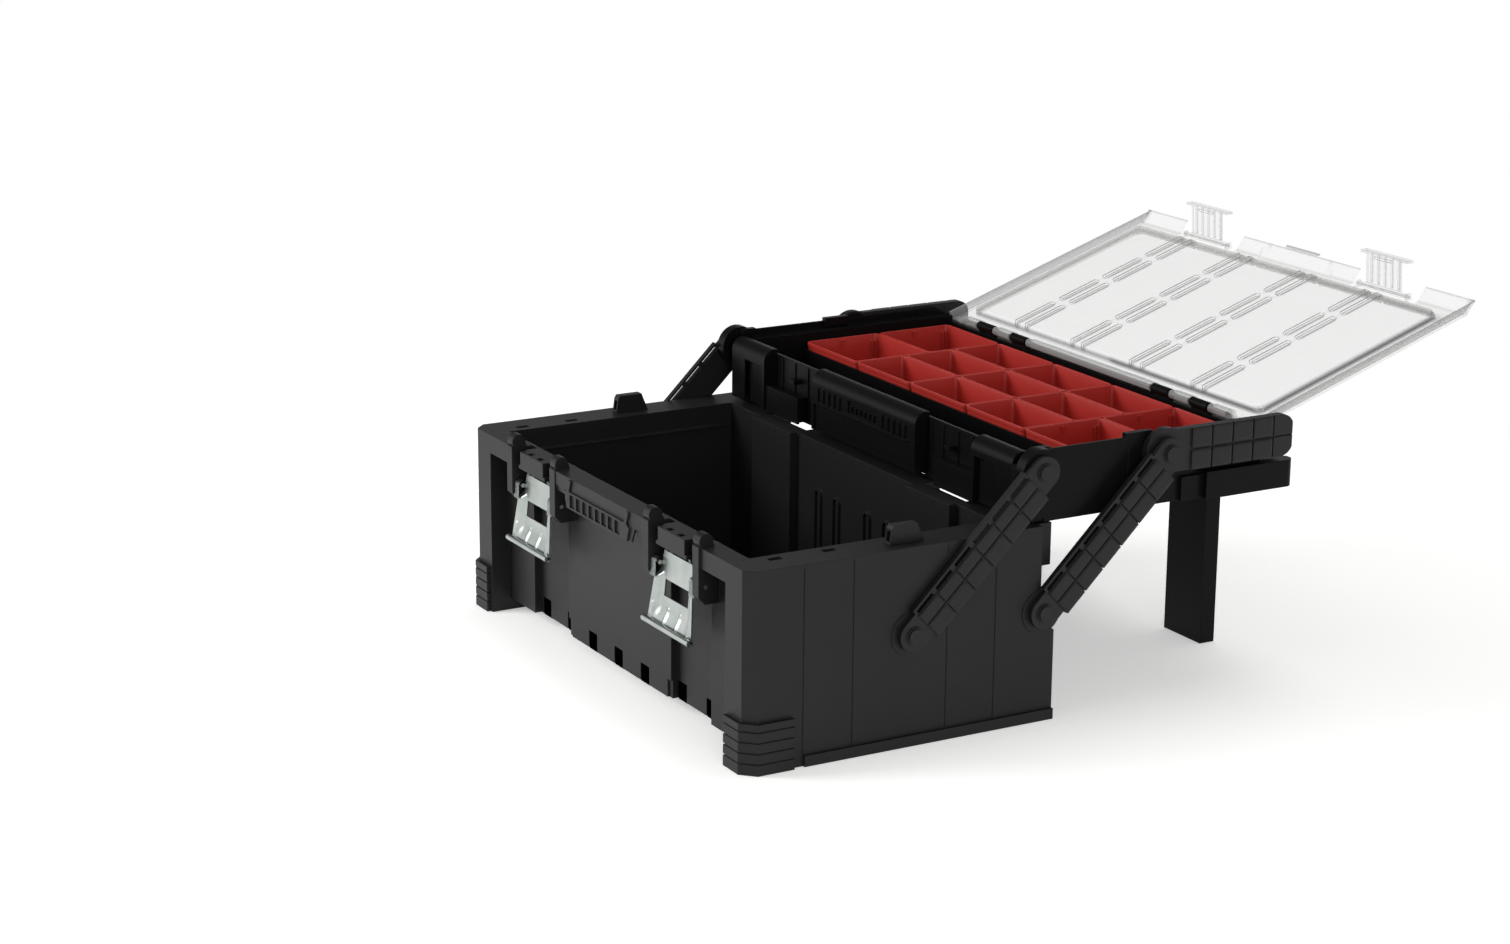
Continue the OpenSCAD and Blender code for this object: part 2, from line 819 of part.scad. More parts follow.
module tray_half() {
  difference() {
    union() {
      // skins, inner wall and the ledge the lid drops onto
      along_x(tray_hw - tw, tray_hw)
        tray_side_profile();
      box([in_hw, bay_y, tray_z], [in_hw + tw, tray_rear - 1, ledge_z]);
      box([in_hw, bay_y, ledge_z - tw], [tray_hw - 1, tray_rear - 1, ledge_z]);
      upper_boss(q_y1, arm_in - 0.3);
      upper_boss(q_y2, hand_in - 0.3);
      corner_block();
      front_corner();
      // hood beside the latch bay, with a floor to its sunk pocket
      difference() {
        along_x(hood_x1, tray_hw - 13)
          dome_shell(front_z);
        box([pocket_x0, tray_front - 1, front_z - 1], [pocket_x1, tray_front + tw + 1, front_z + 43]);
      }
      box([hood_x1 + 1, tray_front + 5, front_z], [pocket_x1 + 3, tray_front + 7, front_z + 47]);
      for (x = [hood_x1, tray_hw - 13 - tw])
        along_x(x, x + tw)
          dome(0, front_z);
      along_x(hood_x0 - tw, hood_x0)
        dome_bay_end();
      // wall of the latch bay, with upright steps
      box([hood_x0 - tw, bay_y, front_z - 2], [hood_x1 + tw, bay_y + tw, bay_top]);
      for (x = [hood_x0 + 8, hood_x0 + 27, hood_x0 + 52, hood_x0 + 76])
        box([x, bay_y - 1.2, tray_z + tray_h * 0.37 + wall], [x + 2.4, bay_y + 1, bay_top - 2]);
      // raised blocks along the top edge
      box([tray_hw - 6.3, q_y2 - 38.6, tray_top - 5], [tray_hw - small, q_y2 - 10.6, tray_top + 3.5]);
      box([tray_hw - 6.3, tray_front + 15, tray_top - 4], [tray_hw - small, tray_front + 31, tray_top + 2]);
      // upright strip under the rear one
      box([tray_hw - 1, q_y2 - 36, tray_z + 4], [tray_hw + 0.5, q_y2 - 30, tray_top - 2]);
      // posts of the lid's hinge
      for (x = post_x) {
        bar_x(x - post_hw, x + post_hw, hinge_y, hinge_z, knuckle_r + 0.2);
        box([x - post_hw, hinge_y - 1, tray_top - 15], [x + post_hw, tray_rear, hinge_z]);
      }
      // ribs under the rear ledge
      for (x = [58, 110, leg_x, 172, in_hw - 25])
        box([x, tray_rear - 1, tray_z], [x + tw, ledge_rear - 1, ledge_top - 1]);
    }
    for (y = [q_y1, q_y2])
      bar_x(pin_in_up, hw + 5, y, q_z, seat_r, 64);
    bar_x(post_x[0] - 20, in_hw - 10, hinge_y, hinge_z, rod_r + 0.04, 32);
  }
}

// End of a latch bay beside the grip block, behind the block's back
module dome_bay_end() {
  rect([bay_y, front_z], [bay_y + tw, dome_z - 0.6]);
}

module tray_body() {
  color("#1d1e20") {
    both()
      tray_half();
    box([-hood_x0 + tw - small, bay_y, front_z], [hood_x0 - tw + small, bay_y + tw, dome_z - 0.6]);
    // floor of the trough, then the floor under the bins
    box([-in_hw - 1, bay_y + 1, trough_z], [in_hw + 1, trough_y, trough_z + 3]);
    box([-in_hw - 1, trough_y - tw, tray_z], [in_hw + 1, trough_y, trough_z + 1]);
    box([-in_hw - 1, trough_y - 1, tray_z], [in_hw + 1, tray_rear - 1, tray_z + 3]);
    box([-in_hw - 1, part_y, tray_z + 2], [in_hw + 1, part_y + 2.2, bin_top - 7]);
    box([-tray_hw + 1, tray_rear - tw, tray_z], [tray_hw - 1, tray_rear, tray_top - 13]);
    box([-tray_hw + 2, tray_rear - 5, tray_top - 16], [tray_hw - 2, tray_rear, tray_top - 13]);
    // rear ledge that carries the legs
    box([-tray_hw, tray_rear - 1, ledge_top - wall], [tray_hw, ledge_rear, ledge_top]);
    box([-tray_hw, ledge_rear - tw, tray_z], [tray_hw, ledge_rear, ledge_top - 1]);
  }
}

// The domed grip block between the latch bays, open at its back and foot
module tray_grip_block() {
  f = tray_front;
  x1 = hood_x0 - 0.5;
  z = tray_z;
  rib_z0 = z + tray_h * 0.53;
  rib_z1 = z + tray_h * 0.73;
  ledge = rib_z0 - 3;
  color("#1d1e20") {
    difference() {
      union() {
        along_x(-x1, x1)
          intersection() {
            dome(0, front_z + 2);
            rect([f - 1, z], [bay_y, dome_z + 1]);
          }
        // ledge under the ribs
        box([-x1 + 4, f - 1.8, ledge], [x1 - 12, f + 1, ledge + 2]);
      }
      along_x(-x1 + 3, x1 - 3)
        intersection() {
          dome(3, front_z - 1);
          rect([f, z], [bay_y + 1, dome_z]);
        }
      along_x(-x1 + 3, x1 - 3)
        rect([f + 8, z], [bay_y + 1, dome_z - 4]);
      // sunk pocket at the left, and the field between the rib groups
      box([-x1 + 4, f - 1, z], [-x1 + 21, f + 1.8, ledge - 1]);
      box([-x1 + 21 - small, f - 1, z], [x1 - 12, f + 0.8, ledge - 1]);
      box([-26, f - 1, rib_z0 + 1], [26, f + 1.6, rib_z1]);
    }
    for (k = [0:4])
      for (x = [-x1 + 10, 34])
        box([x + k * 10, f - 1.4, rib_z0], [x + k * 10 + 4, f + 0.5, rib_z1]);
    for (k = [0:5])
      box([-22 + k * 8, f, rib_z0 + 2], [-19 + k * 8, f + 1.7, rib_z1 - 5]);
  }
}

// A ledge with a panel under it in each latch bay, and the catch above it
module lid_keepers() {
  f = tray_front;
  z = tray_z;
  x1 = hood_x1 - 1;
  x0 = x1 - fin_dx * 4 / 3;
  ledge = z + tray_h * 0.37;
  color("#1d1e20")
    both() {
      box([x0, f + 2, ledge], [x1, bay_y, ledge + wall]);
      box([x0, f + 2, z + 1.5], [x1, f + 2 + tw, ledge]);
      for (x = [x0, (x0 + x1) / 2, x1 - tw])
        box([x, f + 2 + tw, z + 3], [x + tw, bay_y, ledge]);
      box([bay_x - 5, latchpin_y + 2.5, ledge + 14], [bay_x + 5, bay_y, ledge + 18]);
    }
}

module leg() {
  leg_p = (tray_z - 4) / 3;
  x0 = leg_x - leg_w / 2;
  x1 = leg_x + leg_w / 2;
  difference() {
    union() {
      box([x0, leg_y, 0], [x1, leg_y + leg_d, tray_z]);
      box([x0 - 2, leg_y - 1.4, tray_z - 35], [x1 + 2, leg_y + leg_d + 1.4, tray_z]);
    }
    for (k = [0:2])
      box([x0 + 3, leg_y + 3, 3 + k * leg_p], [x1 - 3, leg_y + leg_d + 5, k * leg_p + leg_p]);
  }
}

module leg_right() {
  color("#232426")
    leg();
}

module leg_left() {
  color("#232426")
    mirror([1, 0, 0])
      leg();
}

// ---- carry handle ----

// Outline of a handle arm: a hub and a bar with a round end
module hand_plan() {
  h = hand_h / 2;
  circle(r = 22, $fn = 64);
  rect([0, -h], [hand_len - 14, h]);
  round_rect([hand_len - 40, -h], [hand_len, h], 13);
}

module handle_arm() {
  h = hand_h / 2;
  face = hand_t - tile_t;
  first = 26;
  pitch = (hand_len - first) / 5;
  translate([hand_in, q_y2, q_z])
    difference() {
      union() {
        along_x(0, face)
          hand_plan();
        // raised tiles, two rows
        along_x(face - small, hand_t)
          intersection() {
            hand_plan();
            for (k = [0:4])
              for (c = [-1, 0])
                rect([first + k * pitch + 1, c < 0 ? -h : 0.9], [first + (k + 1) * pitch - 1, c < 0 ? -0.9 : h]);
          }
      }
      bar_x(-1, hand_t + 1, 0, 0, bore_r, 64);
    }
}

module handle_arm_right() {
  color("#232426")
    handle_arm();
}

module handle_arm_left() {
  color("#232426")
    mirror([1, 0, 0])
      handle_arm();
}

module handle_grip() {
  color("#232426") {
    bar_x(-hand_in, hand_in, grip_y, grip_z, grip_r, 48);
    for (x = [-56:8:56])
      bar_x(x - 1.6, x + 1.6, grip_y, grip_z, grip_r + 0.7, 48);
  }
}

// ---- lid ----

module hinge_rod() {
  color("#9fa3a4")
    bar_x(-in_hw + 28, in_hw - 28, hinge_y, hinge_z, rod_r, 32);
}

// Turns what is drawn closed into the laid-back pose
module laid_back() {
  translate([0, hinge_y, hinge_z])
    rotate([-lid_open, 0, 0])
      translate([0, -hinge_y, -hinge_z])
        children();
}

// Plan of the lid, with a cut-out for each latch
module lid_plan() {
  difference() {
    rect([-lid_hw, lid_front + 10], [lid_hw, lid_back]);
    for (s = [-1, 1])
      rect([s * bay_x - cut_hw, lid_front], [s * bay_x + cut_hw, lid_front + 19]);
  }
}

// Plan of the sunk panel, inset by e
module panel_plan(e) {
  round_rect([-panel_x + e, panel_y0 + e], [panel_x - e, panel_y1 - e], panel_r - e);
}

// The lid's front lip, which slopes down and out
module lip_profile() {
  y = lid_front;
  z0 = lid_top - lid_t;
  polygon([[y, lip_z], [y + 2.2, lip_z], [y + 11.2, z0], [y + 13, z0], [y + 13, lid_top], [y + 10, lid_top],
    [y, lip_z + 2.5]]);
}

module lip_end() {
  y = lid_front;
  polygon([[y, lip_z], [y + 13, ledge_z + 0.6], [y + 13, lid_top], [y + 10, lid_top], [y, lip_z + 2.5]]);
}

// A raised dash with round ends on the panel's underside
module dash(x, y0, y1) {
  translate([0, 0, panel_z - 1.6])
    linear_extrude(1.8)
      round_rect([x - 3, y0], [x + 3, y1], 3 - small);
}

// The dashes run over the walls between the bins, in pairs
module dashes() {
  pitch = (panel_y1 - panel_y0 + 8) / 4;
  for (x = [bin_px / 2, bin_px * 3 / 2])
    for (d = [-9, 9])
      for (k = [0:3])
        dash(x + d, panel_y0 + k * pitch + 0.5, panel_y0 + (k + 1) * pitch - 8.5);
}

module lid_closed() {
  z0 = lid_top - lid_t;
  difference() {
    union() {
      // rim, the step down and the sunk panel
      translate([0, 0, z0])
        linear_extrude(lid_t)
          difference() {
            lid_plan();
            panel_plan(1);
          }
      translate([0, 0, panel_z])
        linear_extrude(lid_top - panel_z)
          difference() {
            panel_plan(0);
            panel_plan(lid_t);
          }
      translate([0, 0, panel_z])
        linear_extrude(lid_t)
          panel_plan(0);
      both() {
        dashes();
        // side skirt and front lip
        box([lid_hw - tw, lid_front + 12, ledge_z + 0.6], [lid_hw, lid_back - 6, lid_top]);
        along_x(bay_x + cut_hw, lid_hw)
          lip_profile();
        along_x(lid_hw - tw, lid_hw)
          lip_end();
        // ears that hold a latch pin
        for (d = [-38.5, 36])
          box([bay_x + d, latchpin_y - 4, latchpin_z - 3], [bay_x + d + 2.5, lid_front + 20, lid_top]);
        // hinge knuckles between the posts
        lid_knuckle(post_x[0] + post_hw + knuckle_gap, post_x[1] - post_hw - knuckle_gap);
        lid_knuckle(post_x[1] + post_hw + knuckle_gap, in_hw - 28);
      }
      along_x(-bay_x + cut_hw, bay_x - cut_hw)
        lip_profile();
      // finger tab
      box([-26, lid_front - 3, lip_z - 0.6], [26, lid_front + 1, lip_z + 1]);
      lid_knuckle(-post_x[0] + post_hw + knuckle_gap, post_x[0] - post_hw - knuckle_gap);
      translate([0, panel_y1 - 128, panel_z - 0.5])
        cylinder(h = 1, r = 2.2, $fn = 24);
    }
    bar_x(-in_hw + 10, in_hw - 10, hinge_y, hinge_z, rod_r + run_gap, 32);
    both()
      bar_x(bay_x - 40, bay_x + 40, latchpin_y, latchpin_z, 1.24, 24);
  }
}

module lid_knuckle(x0, x1) {
  bar_x(x0, x1, hinge_y, hinge_z, knuckle_r);
  box([x0, hinge_y - 9, hinge_z - 1], [x1, lid_back, lid_top - small]);
}

module lid_panel() {
  color("#e6eaec", 0.35)
    laid_back()
      lid_closed();
}

// A lid latch, drawn hanging straight down from its pin at the origin
module latch_moulding() {
  difference() {
    union() {
      bar_x(-35.5, 35.5, 0, 0, 3, 32);
      box([-25, -2, -32.4], [25, 0, -0.4]);
      box([-34, -8, -34.4], [34, 0, -32.2]);
      for (d = [-20, -10, 0, 10, 20])
        box([d - 1, -3.6, -32.4], [d + 1, -1.9, -3.4]);
      box([-12, -0.2, -31.4], [12, 2, -29]);
    }
    bar_x(-40, 40, 0, 0, 1.26, 24);
  }
}

module lid_latch(x) {
  laid_back()
    translate([x, latchpin_y, latchpin_z])
      rotate([-lidlatch_lean, 0, 0])
        latch_moulding();
}

module lid_latch_right() {
  color("#e6eaec", 0.35)
    lid_latch(bay_x);
}

module lid_latch_left() {
  color("#e6eaec", 0.35)
    lid_latch(-bay_x);
}

module lid_latch_pins() {
  color("#9fa3a4")
    laid_back()
      both()
        bar_x(bay_x - 38.5, bay_x + 38.5, latchpin_y, latchpin_z, 1.2, 24);
}

// ---- bins ----

// Four corner posts inset by e from the bin's outline
module bin_posts(dx, dy, e, z, t) {
  r = 5;
  for (x = [e + r, dx - e - r])
    for (y = [e + r, dy - e - r])
      translate([x, y, z])
        cylinder(h = t, r = r, $fn = 16);
}

module bin_at(col, row, rows) {
  dx = bin_px - bin_gap;
  dy = bin_field / rows - bin_gap;
  color("#b3161b")
    translate([bin_x0 + (col - 1) * bin_px + bin_gap / 2, bin_y0 + row * bin_field / rows + bin_gap / 2, 0])
      difference() {
        hull() {
          bin_posts(dx, dy, bin_taper, bin_z, 0.5);
          bin_posts(dx, dy, 0, bin_top - 0.5, 0.5);
        }
        hull() {
          bin_posts(dx, dy, bin_taper + bin_wall, bin_z + bin_wall, 0.5);
          bin_posts(dx, dy, bin_wall, bin_top, 1);
        }
      }
}

module bin_1_front() {
  bin_at(1, 0, 2);
}

module bin_1_rear() {
  bin_at(1, 1, 2);
}

module bin_2_front() {
  bin_at(2, 0, 3);
}

module bin_2_mid() {
  bin_at(2, 1, 3);
}

module bin_2_rear() {
  bin_at(2, 2, 3);
}

module bin_3_front() {
  bin_at(3, 0, 3);
}

module bin_3_mid() {
  bin_at(3, 1, 3);
}

module bin_3_rear() {
  bin_at(3, 2, 3);
}

module bin_4_front() {
  bin_at(4, 0, 3);
}

module bin_4_mid() {
  bin_at(4, 1, 3);
}

module bin_4_rear() {
  bin_at(4, 2, 3);
}

module bin_5_front() {
  bin_at(5, 0, 2);
}

module bin_5_rear() {
  bin_at(5, 1, 2);
}

base_tub();
rim_hook_left();
rim_hook_right();
latch_block_left();
latch_block_right();
label_panel();
latch_plate_left();
latch_plate_right();
latch_pins();
lower_pivot_pins();
arm_front_left();
arm_front_right();
arm_rear_left();
arm_rear_right();
upper_pivot_pins();
tray_body();
tray_grip_block();
lid_keepers();
leg_left();
leg_right();
handle_arm_left();
handle_arm_right();
handle_grip();
hinge_rod();
lid_panel();
lid_latch_left();
lid_latch_right();
lid_latch_pins();
bin_1_front();
bin_1_rear();
bin_2_front();
bin_2_mid();
bin_2_rear();
bin_3_front();
bin_3_mid();
bin_3_rear();
bin_4_front();
bin_4_mid();
bin_4_rear();
bin_5_front();
bin_5_rear();
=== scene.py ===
import json
import math

import bmesh
import bpy
from mathutils import Matrix, Vector


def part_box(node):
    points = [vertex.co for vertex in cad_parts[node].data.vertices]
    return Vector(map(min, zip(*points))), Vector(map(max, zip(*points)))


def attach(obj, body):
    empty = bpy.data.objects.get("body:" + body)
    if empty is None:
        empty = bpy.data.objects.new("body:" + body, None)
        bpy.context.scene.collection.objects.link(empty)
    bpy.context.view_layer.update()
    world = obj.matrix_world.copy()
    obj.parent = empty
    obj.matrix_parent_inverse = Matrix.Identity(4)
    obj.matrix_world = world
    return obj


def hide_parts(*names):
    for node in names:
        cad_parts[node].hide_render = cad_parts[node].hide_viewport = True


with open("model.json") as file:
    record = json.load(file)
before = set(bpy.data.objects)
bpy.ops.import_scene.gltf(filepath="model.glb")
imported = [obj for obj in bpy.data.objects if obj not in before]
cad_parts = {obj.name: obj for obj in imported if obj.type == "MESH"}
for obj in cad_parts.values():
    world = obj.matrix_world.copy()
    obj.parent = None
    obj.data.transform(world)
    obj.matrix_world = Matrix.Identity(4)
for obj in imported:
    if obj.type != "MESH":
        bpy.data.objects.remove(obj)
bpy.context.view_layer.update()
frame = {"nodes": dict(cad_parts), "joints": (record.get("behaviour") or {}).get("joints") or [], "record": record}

MM = 0.001
NODES = frame["nodes"]


# ---- camera, stage and light ----

# The camera stands in front of the box's right side, a little above it.
FRAME_W = 1510
FOCAL_PX = 3140.16
CAMERA_YAW = 1.0557
CAMERA_PITCH = 0.2703
CAMERA_ROLL = 0.0078
CAMERA_DISTANCE = 3.02911
CAMERA_AIM = Vector((-0.09358, 0.05872, 0.150))
SENSOR = 36.0
CLIP = (0.05, 60)

# What the room lights everything with, and the ceiling that sheens see above the sweep.
ROOM_LIGHT = 0.30
CEILING = 0.10
SWEEP_END, CEILING_START = 0.10, 0.34
# The floor's own glow, and where its seen shadow gives way to plain white.
PAPER_LIFT = 0.42
SHADOW_END, BLANK_START = 0.75, 1.25
FLOOR_REACH = 12
FLOOR_DROP = 0.0004

# Name, place, aim, size and watts of each soft box.
LIGHTS = (
    ("key_light", (-1.5, -2.9, 1.7), (0, 0.1, 0.1), (1.6, 1.2), 80),
    ("fill_light", (3.0, -0.9, 1.1), (0, 0.15, 0.15), (1.4, 1.4), 27),
    ("top_light", (-0.3, 0.9, 3.2), (0, 0.2, 0.1), (2.0, 2.0), 34),
)


def make_camera():
    """The camera whose view matches the photo's frame."""
    back = Vector(
        (
            math.sin(CAMERA_YAW) * math.cos(CAMERA_PITCH),
            -math.cos(CAMERA_YAW) * math.cos(CAMERA_PITCH),
            math.sin(CAMERA_PITCH),
        )
    )
    right = (-back).cross(Vector((0, 0, 1))).normalized()
    up = right.cross(-back)
    c, s = math.cos(CAMERA_ROLL), math.sin(CAMERA_ROLL)
    right, up = right * c + up * s, up * c - right * s
    turn = Matrix((right, up, back)).transposed().to_4x4()
    data = bpy.data.cameras.new("camera")
    data.sensor_width = SENSOR
    data.lens = SENSOR * FOCAL_PX / FRAME_W
    data.clip_start, data.clip_end = CLIP
    camera = bpy.data.objects.new("camera", data)
    camera.matrix_world = Matrix.Translation(CAMERA_AIM + back * CAMERA_DISTANCE) @ turn
    bpy.context.scene.collection.objects.link(camera)
    bpy.context.scene.camera = camera


def linear(hex_colour, alpha=1.0):
    """An sRGB hex colour as linear red, green, blue and alpha."""
    h = hex_colour.lstrip("#")
    out = []
    for k in (0, 2, 4):
        c = int(h[k : k + 2], 16) / 255
        out.append(c / 12.92 if c <= 0.04045 else ((c + 0.055) / 1.055) ** 2.4)
    return (*out, alpha)


def add(tree, kind, links=None, values=None, **properties):
    """Adds a node with its properties, its sockets' values and the links into them."""
    node = tree.nodes.new(kind)
    for key, value in properties.items():
        setattr(node, key, value)
    for key, value in (values or {}).items():
        node.inputs[key].default_value = value
    for key, source in (links or {}).items():
        tree.links.new(source, node.inputs[key])
    return node


def paper_and_ceiling_world():
    """White where the eye looks past the box, and a dim grey light on everything.

    Sheens see a white paper sweep that ends in a dark ceiling.
    """
    world = bpy.data.worlds.new("studio")
    world.use_nodes = True
    tree = world.node_tree
    tree.nodes.clear()
    path = add(tree, "ShaderNodeLightPath").outputs
    seen = {0: path["Is Camera Ray"], 1: path["Is Transmission Ray"]}
    eye = add(tree, "ShaderNodeMath", seen, operation="MAXIMUM").outputs[0]
    way = add(tree, "ShaderNodeTexCoord").outputs["Generated"]
    height = add(tree, "ShaderNodeSeparateXYZ", {0: way}).outputs["Z"]
    sheen = ramp(tree, height, 1.0, CEILING, SWEEP_END, CEILING_START)
    by_sheen = {0: path["Is Glossy Ray"], 3: sheen}
    lit = add(tree, "ShaderNodeMix", by_sheen, {2: ROOM_LIGHT}).outputs[0]
    strength = add(tree, "ShaderNodeMix", {0: eye, 2: lit}, {3: 1.0}).outputs[0]
    sky = add(tree, "ShaderNodeBackground", {"Strength": strength}, {"Color": (1, 1, 1, 1)})
    out = add(tree, "ShaderNodeOutputWorld", {"Surface": sky.outputs[0]})
    out.is_active_output = True
    bpy.context.scene.world = world


def soft_box(name, place, aim, size, watts):
    """A soft rectangular lamp that faces its aim."""
    data = bpy.data.lights.new(name, "AREA")
    data.shape = "RECTANGLE"
    data.size, data.size_y = size
    data.energy = watts
    lamp = bpy.data.objects.new(name, data)
    lamp.location = place
    lamp.rotation_euler = (Vector(aim) - Vector(place)).to_track_quat("-Z", "Y").to_euler()
    bpy.context.scene.collection.objects.link(lamp)


def pale_floor():
    """White paper: the eye sees the box's soft shadow on it, and plain white further out."""
    mat = bpy.data.materials.new("floor_paper")
    mat.use_nodes = True
    tree = mat.node_tree
    tree.nodes.clear()
    path = add(tree, "ShaderNodeLightPath").outputs
    matt = add(tree, "ShaderNodeBsdfDiffuse", None, {"Color": linear("#f2f1ef")}).outputs[0]
    lift = add(tree, "ShaderNodeEmission", None, {"Strength": PAPER_LIFT}).outputs[0]
    shaded = add(tree, "ShaderNodeAddShader", {0: matt, 1: lift}).outputs[0]
    blank = add(tree, "ShaderNodeEmission", None, {"Strength": 1.0}).outputs[0]
    place = add(tree, "ShaderNodeTexCoord").outputs["Object"]
    far = add(tree, "ShaderNodeVectorMath", {0: place}, operation="LENGTH").outputs["Value"]
    edge = ramp(tree, far, 0, 1, SHADOW_END, BLANK_START)
    paper = add(tree, "ShaderNodeMixShader", {0: edge, 1: shaded, 2: blank}).outputs[0]
    seen = {0: path["Is Camera Ray"], 1: path["Is Transmission Ray"]}
    eye = add(tree, "ShaderNodeMath", seen, operation="MAXIMUM").outputs[0]
    shown = {0: eye, 1: path["Is Glossy Ray"]}
    eye = add(tree, "ShaderNodeMath", shown, operation="MAXIMUM").outputs[0]
    mix = add(tree, "ShaderNodeMixShader", {0: eye, 1: matt, 2: paper})
    add(tree, "ShaderNodeOutputMaterial", {"Surface": mix.outputs[0]})
    mesh = bpy.data.meshes.new("floor")
    r = FLOOR_REACH
    mesh.from_pydata([(-r, -r, 0), (r, -r, 0), (r, r, 0), (-r, r, 0)], [], [(0, 1, 2, 3)])
    mesh.materials.append(mat)
    floor = bpy.data.objects.new("floor", mesh)
    floor.location.z = -FLOOR_DROP
    bpy.context.scene.collection.objects.link(floor)


def studio():
    """The room, the floor and the lamps."""
    paper_and_ceiling_world()
    pale_floor()
    for light in LIGHTS:
        soft_box(*light)
    bpy.context.scene.view_settings.view_transform = "Standard"


# ---- materials ----

BEVEL_RAYS = 4
# dot product of the rounded and the true normal where an edge begins and where it is full
FLAT_DOT, EDGE_DOT = 0.995, 0.80
# how wide the moulding's flow marks, the clear sheet's haze and the plating's clouds are
FLOW_MM, HAZE_MM, CLOUD_MM = 55, 30, 14
ROUGH_SPREAD = 0.06
GRAIN_STRENGTH = 0.35
PLASTIC_IOR = 1.49
CLEAR_IOR = 1.585
# how solid the clear sheet is drawn square on and edge on, the edge-on solidity a painted reflection, and what a
# fold's painted grey shade adds
CLEAR_ALPHA = (0.11, 0.42)
EDGE_ON_FROM = 0.45
FOLD_ALPHA = 0.8
CLEAR_EDGE_MM = 0.7
CLEAR_ROUGH = (0.06, 0.16)
# rolling streaks are drawn out along Z, and coarser than real ones, so that they show
STREAK_MM = 0.8
STREAK_STRETCH = 0.06
STREAK_BUMP = {"Strength": 0.15, "Distance": 0.02 * MM}


def new_material(name):
    """A material with one principled shader, its tree and that shader."""
    mat = bpy.data.materials.new(name)
    mat.use_nodes = True
    tree = mat.node_tree
    tree.nodes.clear()
    shader = add(tree, "ShaderNodeBsdfPrincipled")
    add(tree, "ShaderNodeOutputMaterial", {"Surface": shader.outputs[0]})
    return mat, tree, shader


def grain(tree, size_mm, detail=2.0):
    """A noise on the piece's own coordinates whose features are about size_mm across."""
    place = add(tree, "ShaderNodeTexCoord")
    return add(
        tree,
        "ShaderNodeTexNoise",
        {"Vector": place.outputs["Object"]},
        {"Scale": 1 / (size_mm * MM), "Detail": detail},
    )


def ramp(tree, source, low, high, start=0.0, end=1.0):
    """source from start to end turned into low to high."""
    values = {"From Min": start, "From Max": end, "To Min": low, "To Max": high}
    return add(tree, "ShaderNodeMapRange", {"Value": source}, values).outputs[0]


def blend_colour(tree, factor, first, second, how="MIX"):
    """Two colours, each a socket or an RGBA, mixed by factor."""
    node = add(tree, "ShaderNodeMix", {0: factor}, data_type="RGBA", blend_type=how)
    for slot, colour in ((6, first), (7, second)):
        if isinstance(colour, tuple):
            node.inputs[slot].default_value = colour
        else:
            tree.links.new(colour, node.inputs[slot])
    return node.outputs[2]


def edge_mask(tree, radius_mm):
    """The rounded normal, and 1 on an edge narrower than the radius, 0 on a flat."""
    radius = {"Radius": radius_mm * MM}
    rounded = add(tree, "ShaderNodeBevel", None, radius, samples=BEVEL_RAYS).outputs[0]
    true = add(tree, "ShaderNodeNewGeometry").outputs["Normal"]
    dot = add(tree, "ShaderNodeVectorMath", {0: rounded, 1: true}, operation="DOT_PRODUCT")
    return rounded, ramp(tree, dot.outputs["Value"], 0, 1, FLAT_DOT, EDGE_DOT)


def moulded_plastic(name, tones, edge_highlight, rough, specular, grain_mm, bump_mm, edge_mm):
    """An injection-moulded thermoplastic: spark-eroded grain, small radii on its edges, and a painted highlight
    that lightens those edges.

    The real grain is a few tenths of a millimetre and is drawn coarser, so that it shows.
    """
    mat, tree, shader = new_material(name)
    flow = grain(tree, FLOW_MM, 3.0).outputs["Fac"]
    rounded, edge = edge_mask(tree, edge_mm)
    tone = blend_colour(tree, flow, linear(tones[0]), linear(tones[1]))
    # painted highlight: the edge mask adds a paler colour along every edge
    highlighted_tone = blend_colour(tree, edge, tone, linear(edge_highlight), "ADD")
    tree.links.new(highlighted_tone, shader.inputs["Base Color"])
    pits = grain(tree, grain_mm, 1.0).outputs["Fac"]
    dull = ramp(tree, pits, rough - ROUGH_SPREAD, rough + ROUGH_SPREAD)
    tree.links.new(dull, shader.inputs["Roughness"])
    relief = {"Height": pits, "Normal": rounded}
    depth = {"Strength": GRAIN_STRENGTH, "Distance": bump_mm * MM}
    bump = add(tree, "ShaderNodeBump", relief, depth)
    tree.links.new(bump.outputs[0], shader.inputs["Normal"])
    shader.inputs["IOR"].default_value = PLASTIC_IOR
    shader.inputs["Specular IOR Level"].default_value = specular
    return mat


def black_polypropylene():
    """Black polypropylene off a spark-eroded mould: dull, with a soft painted highlight on its edges."""
    return moulded_plastic(
        "black_polypropylene",
        tones=("#161617", "#1d1d1e"),
        edge_highlight="#101011",
        rough=0.46,
        specular=0.26,
        grain_mm=0.9,
        bump_mm=0.05,
        edge_mm=0.9,
    )


def smooth_black_polypropylene():
    """The same resin off a finer mould face, and drawn a deeper black, with only a thin painted highlight on its
    edges.
    """
    return moulded_plastic(
        "smooth_black_polypropylene",
        tones=("#0b0b0c", "#101011"),
        edge_highlight="#0a0a0b",
        rough=0.36,
        specular=0.09,
        grain_mm=0.6,
        bump_mm=0.02,
        edge_mm=0.7,
    )


def painted_hole_shade():
    """Painted shade: the same resin drawn almost pure black with no sheen, standing in for the shadow down a small
    hole where no lamp reaches.
    """
    return moulded_plastic(
        "painted_hole_shade",
        tones=("#010101", "#030303"),
        edge_highlight="#000000",
        rough=0.7,
        specular=0.0,
        grain_mm=0.9,
        bump_mm=0.02,
        edge_mm=0.4,
    )


def arm_polypropylene():
    """Glass-filled black polypropylene: a shade greyer than the box, as load-bearing parts are, with a painted
    highlight on its edges.
    """
    return moulded_plastic(
        "glass_filled_polypropylene",
        tones=("#1a1a1b", "#222223"),
        edge_highlight="#101011",
        rough=0.42,
        specular=0.26,
        grain_mm=0.7,
        bump_mm=0.04,
        edge_mm=0.8,
    )


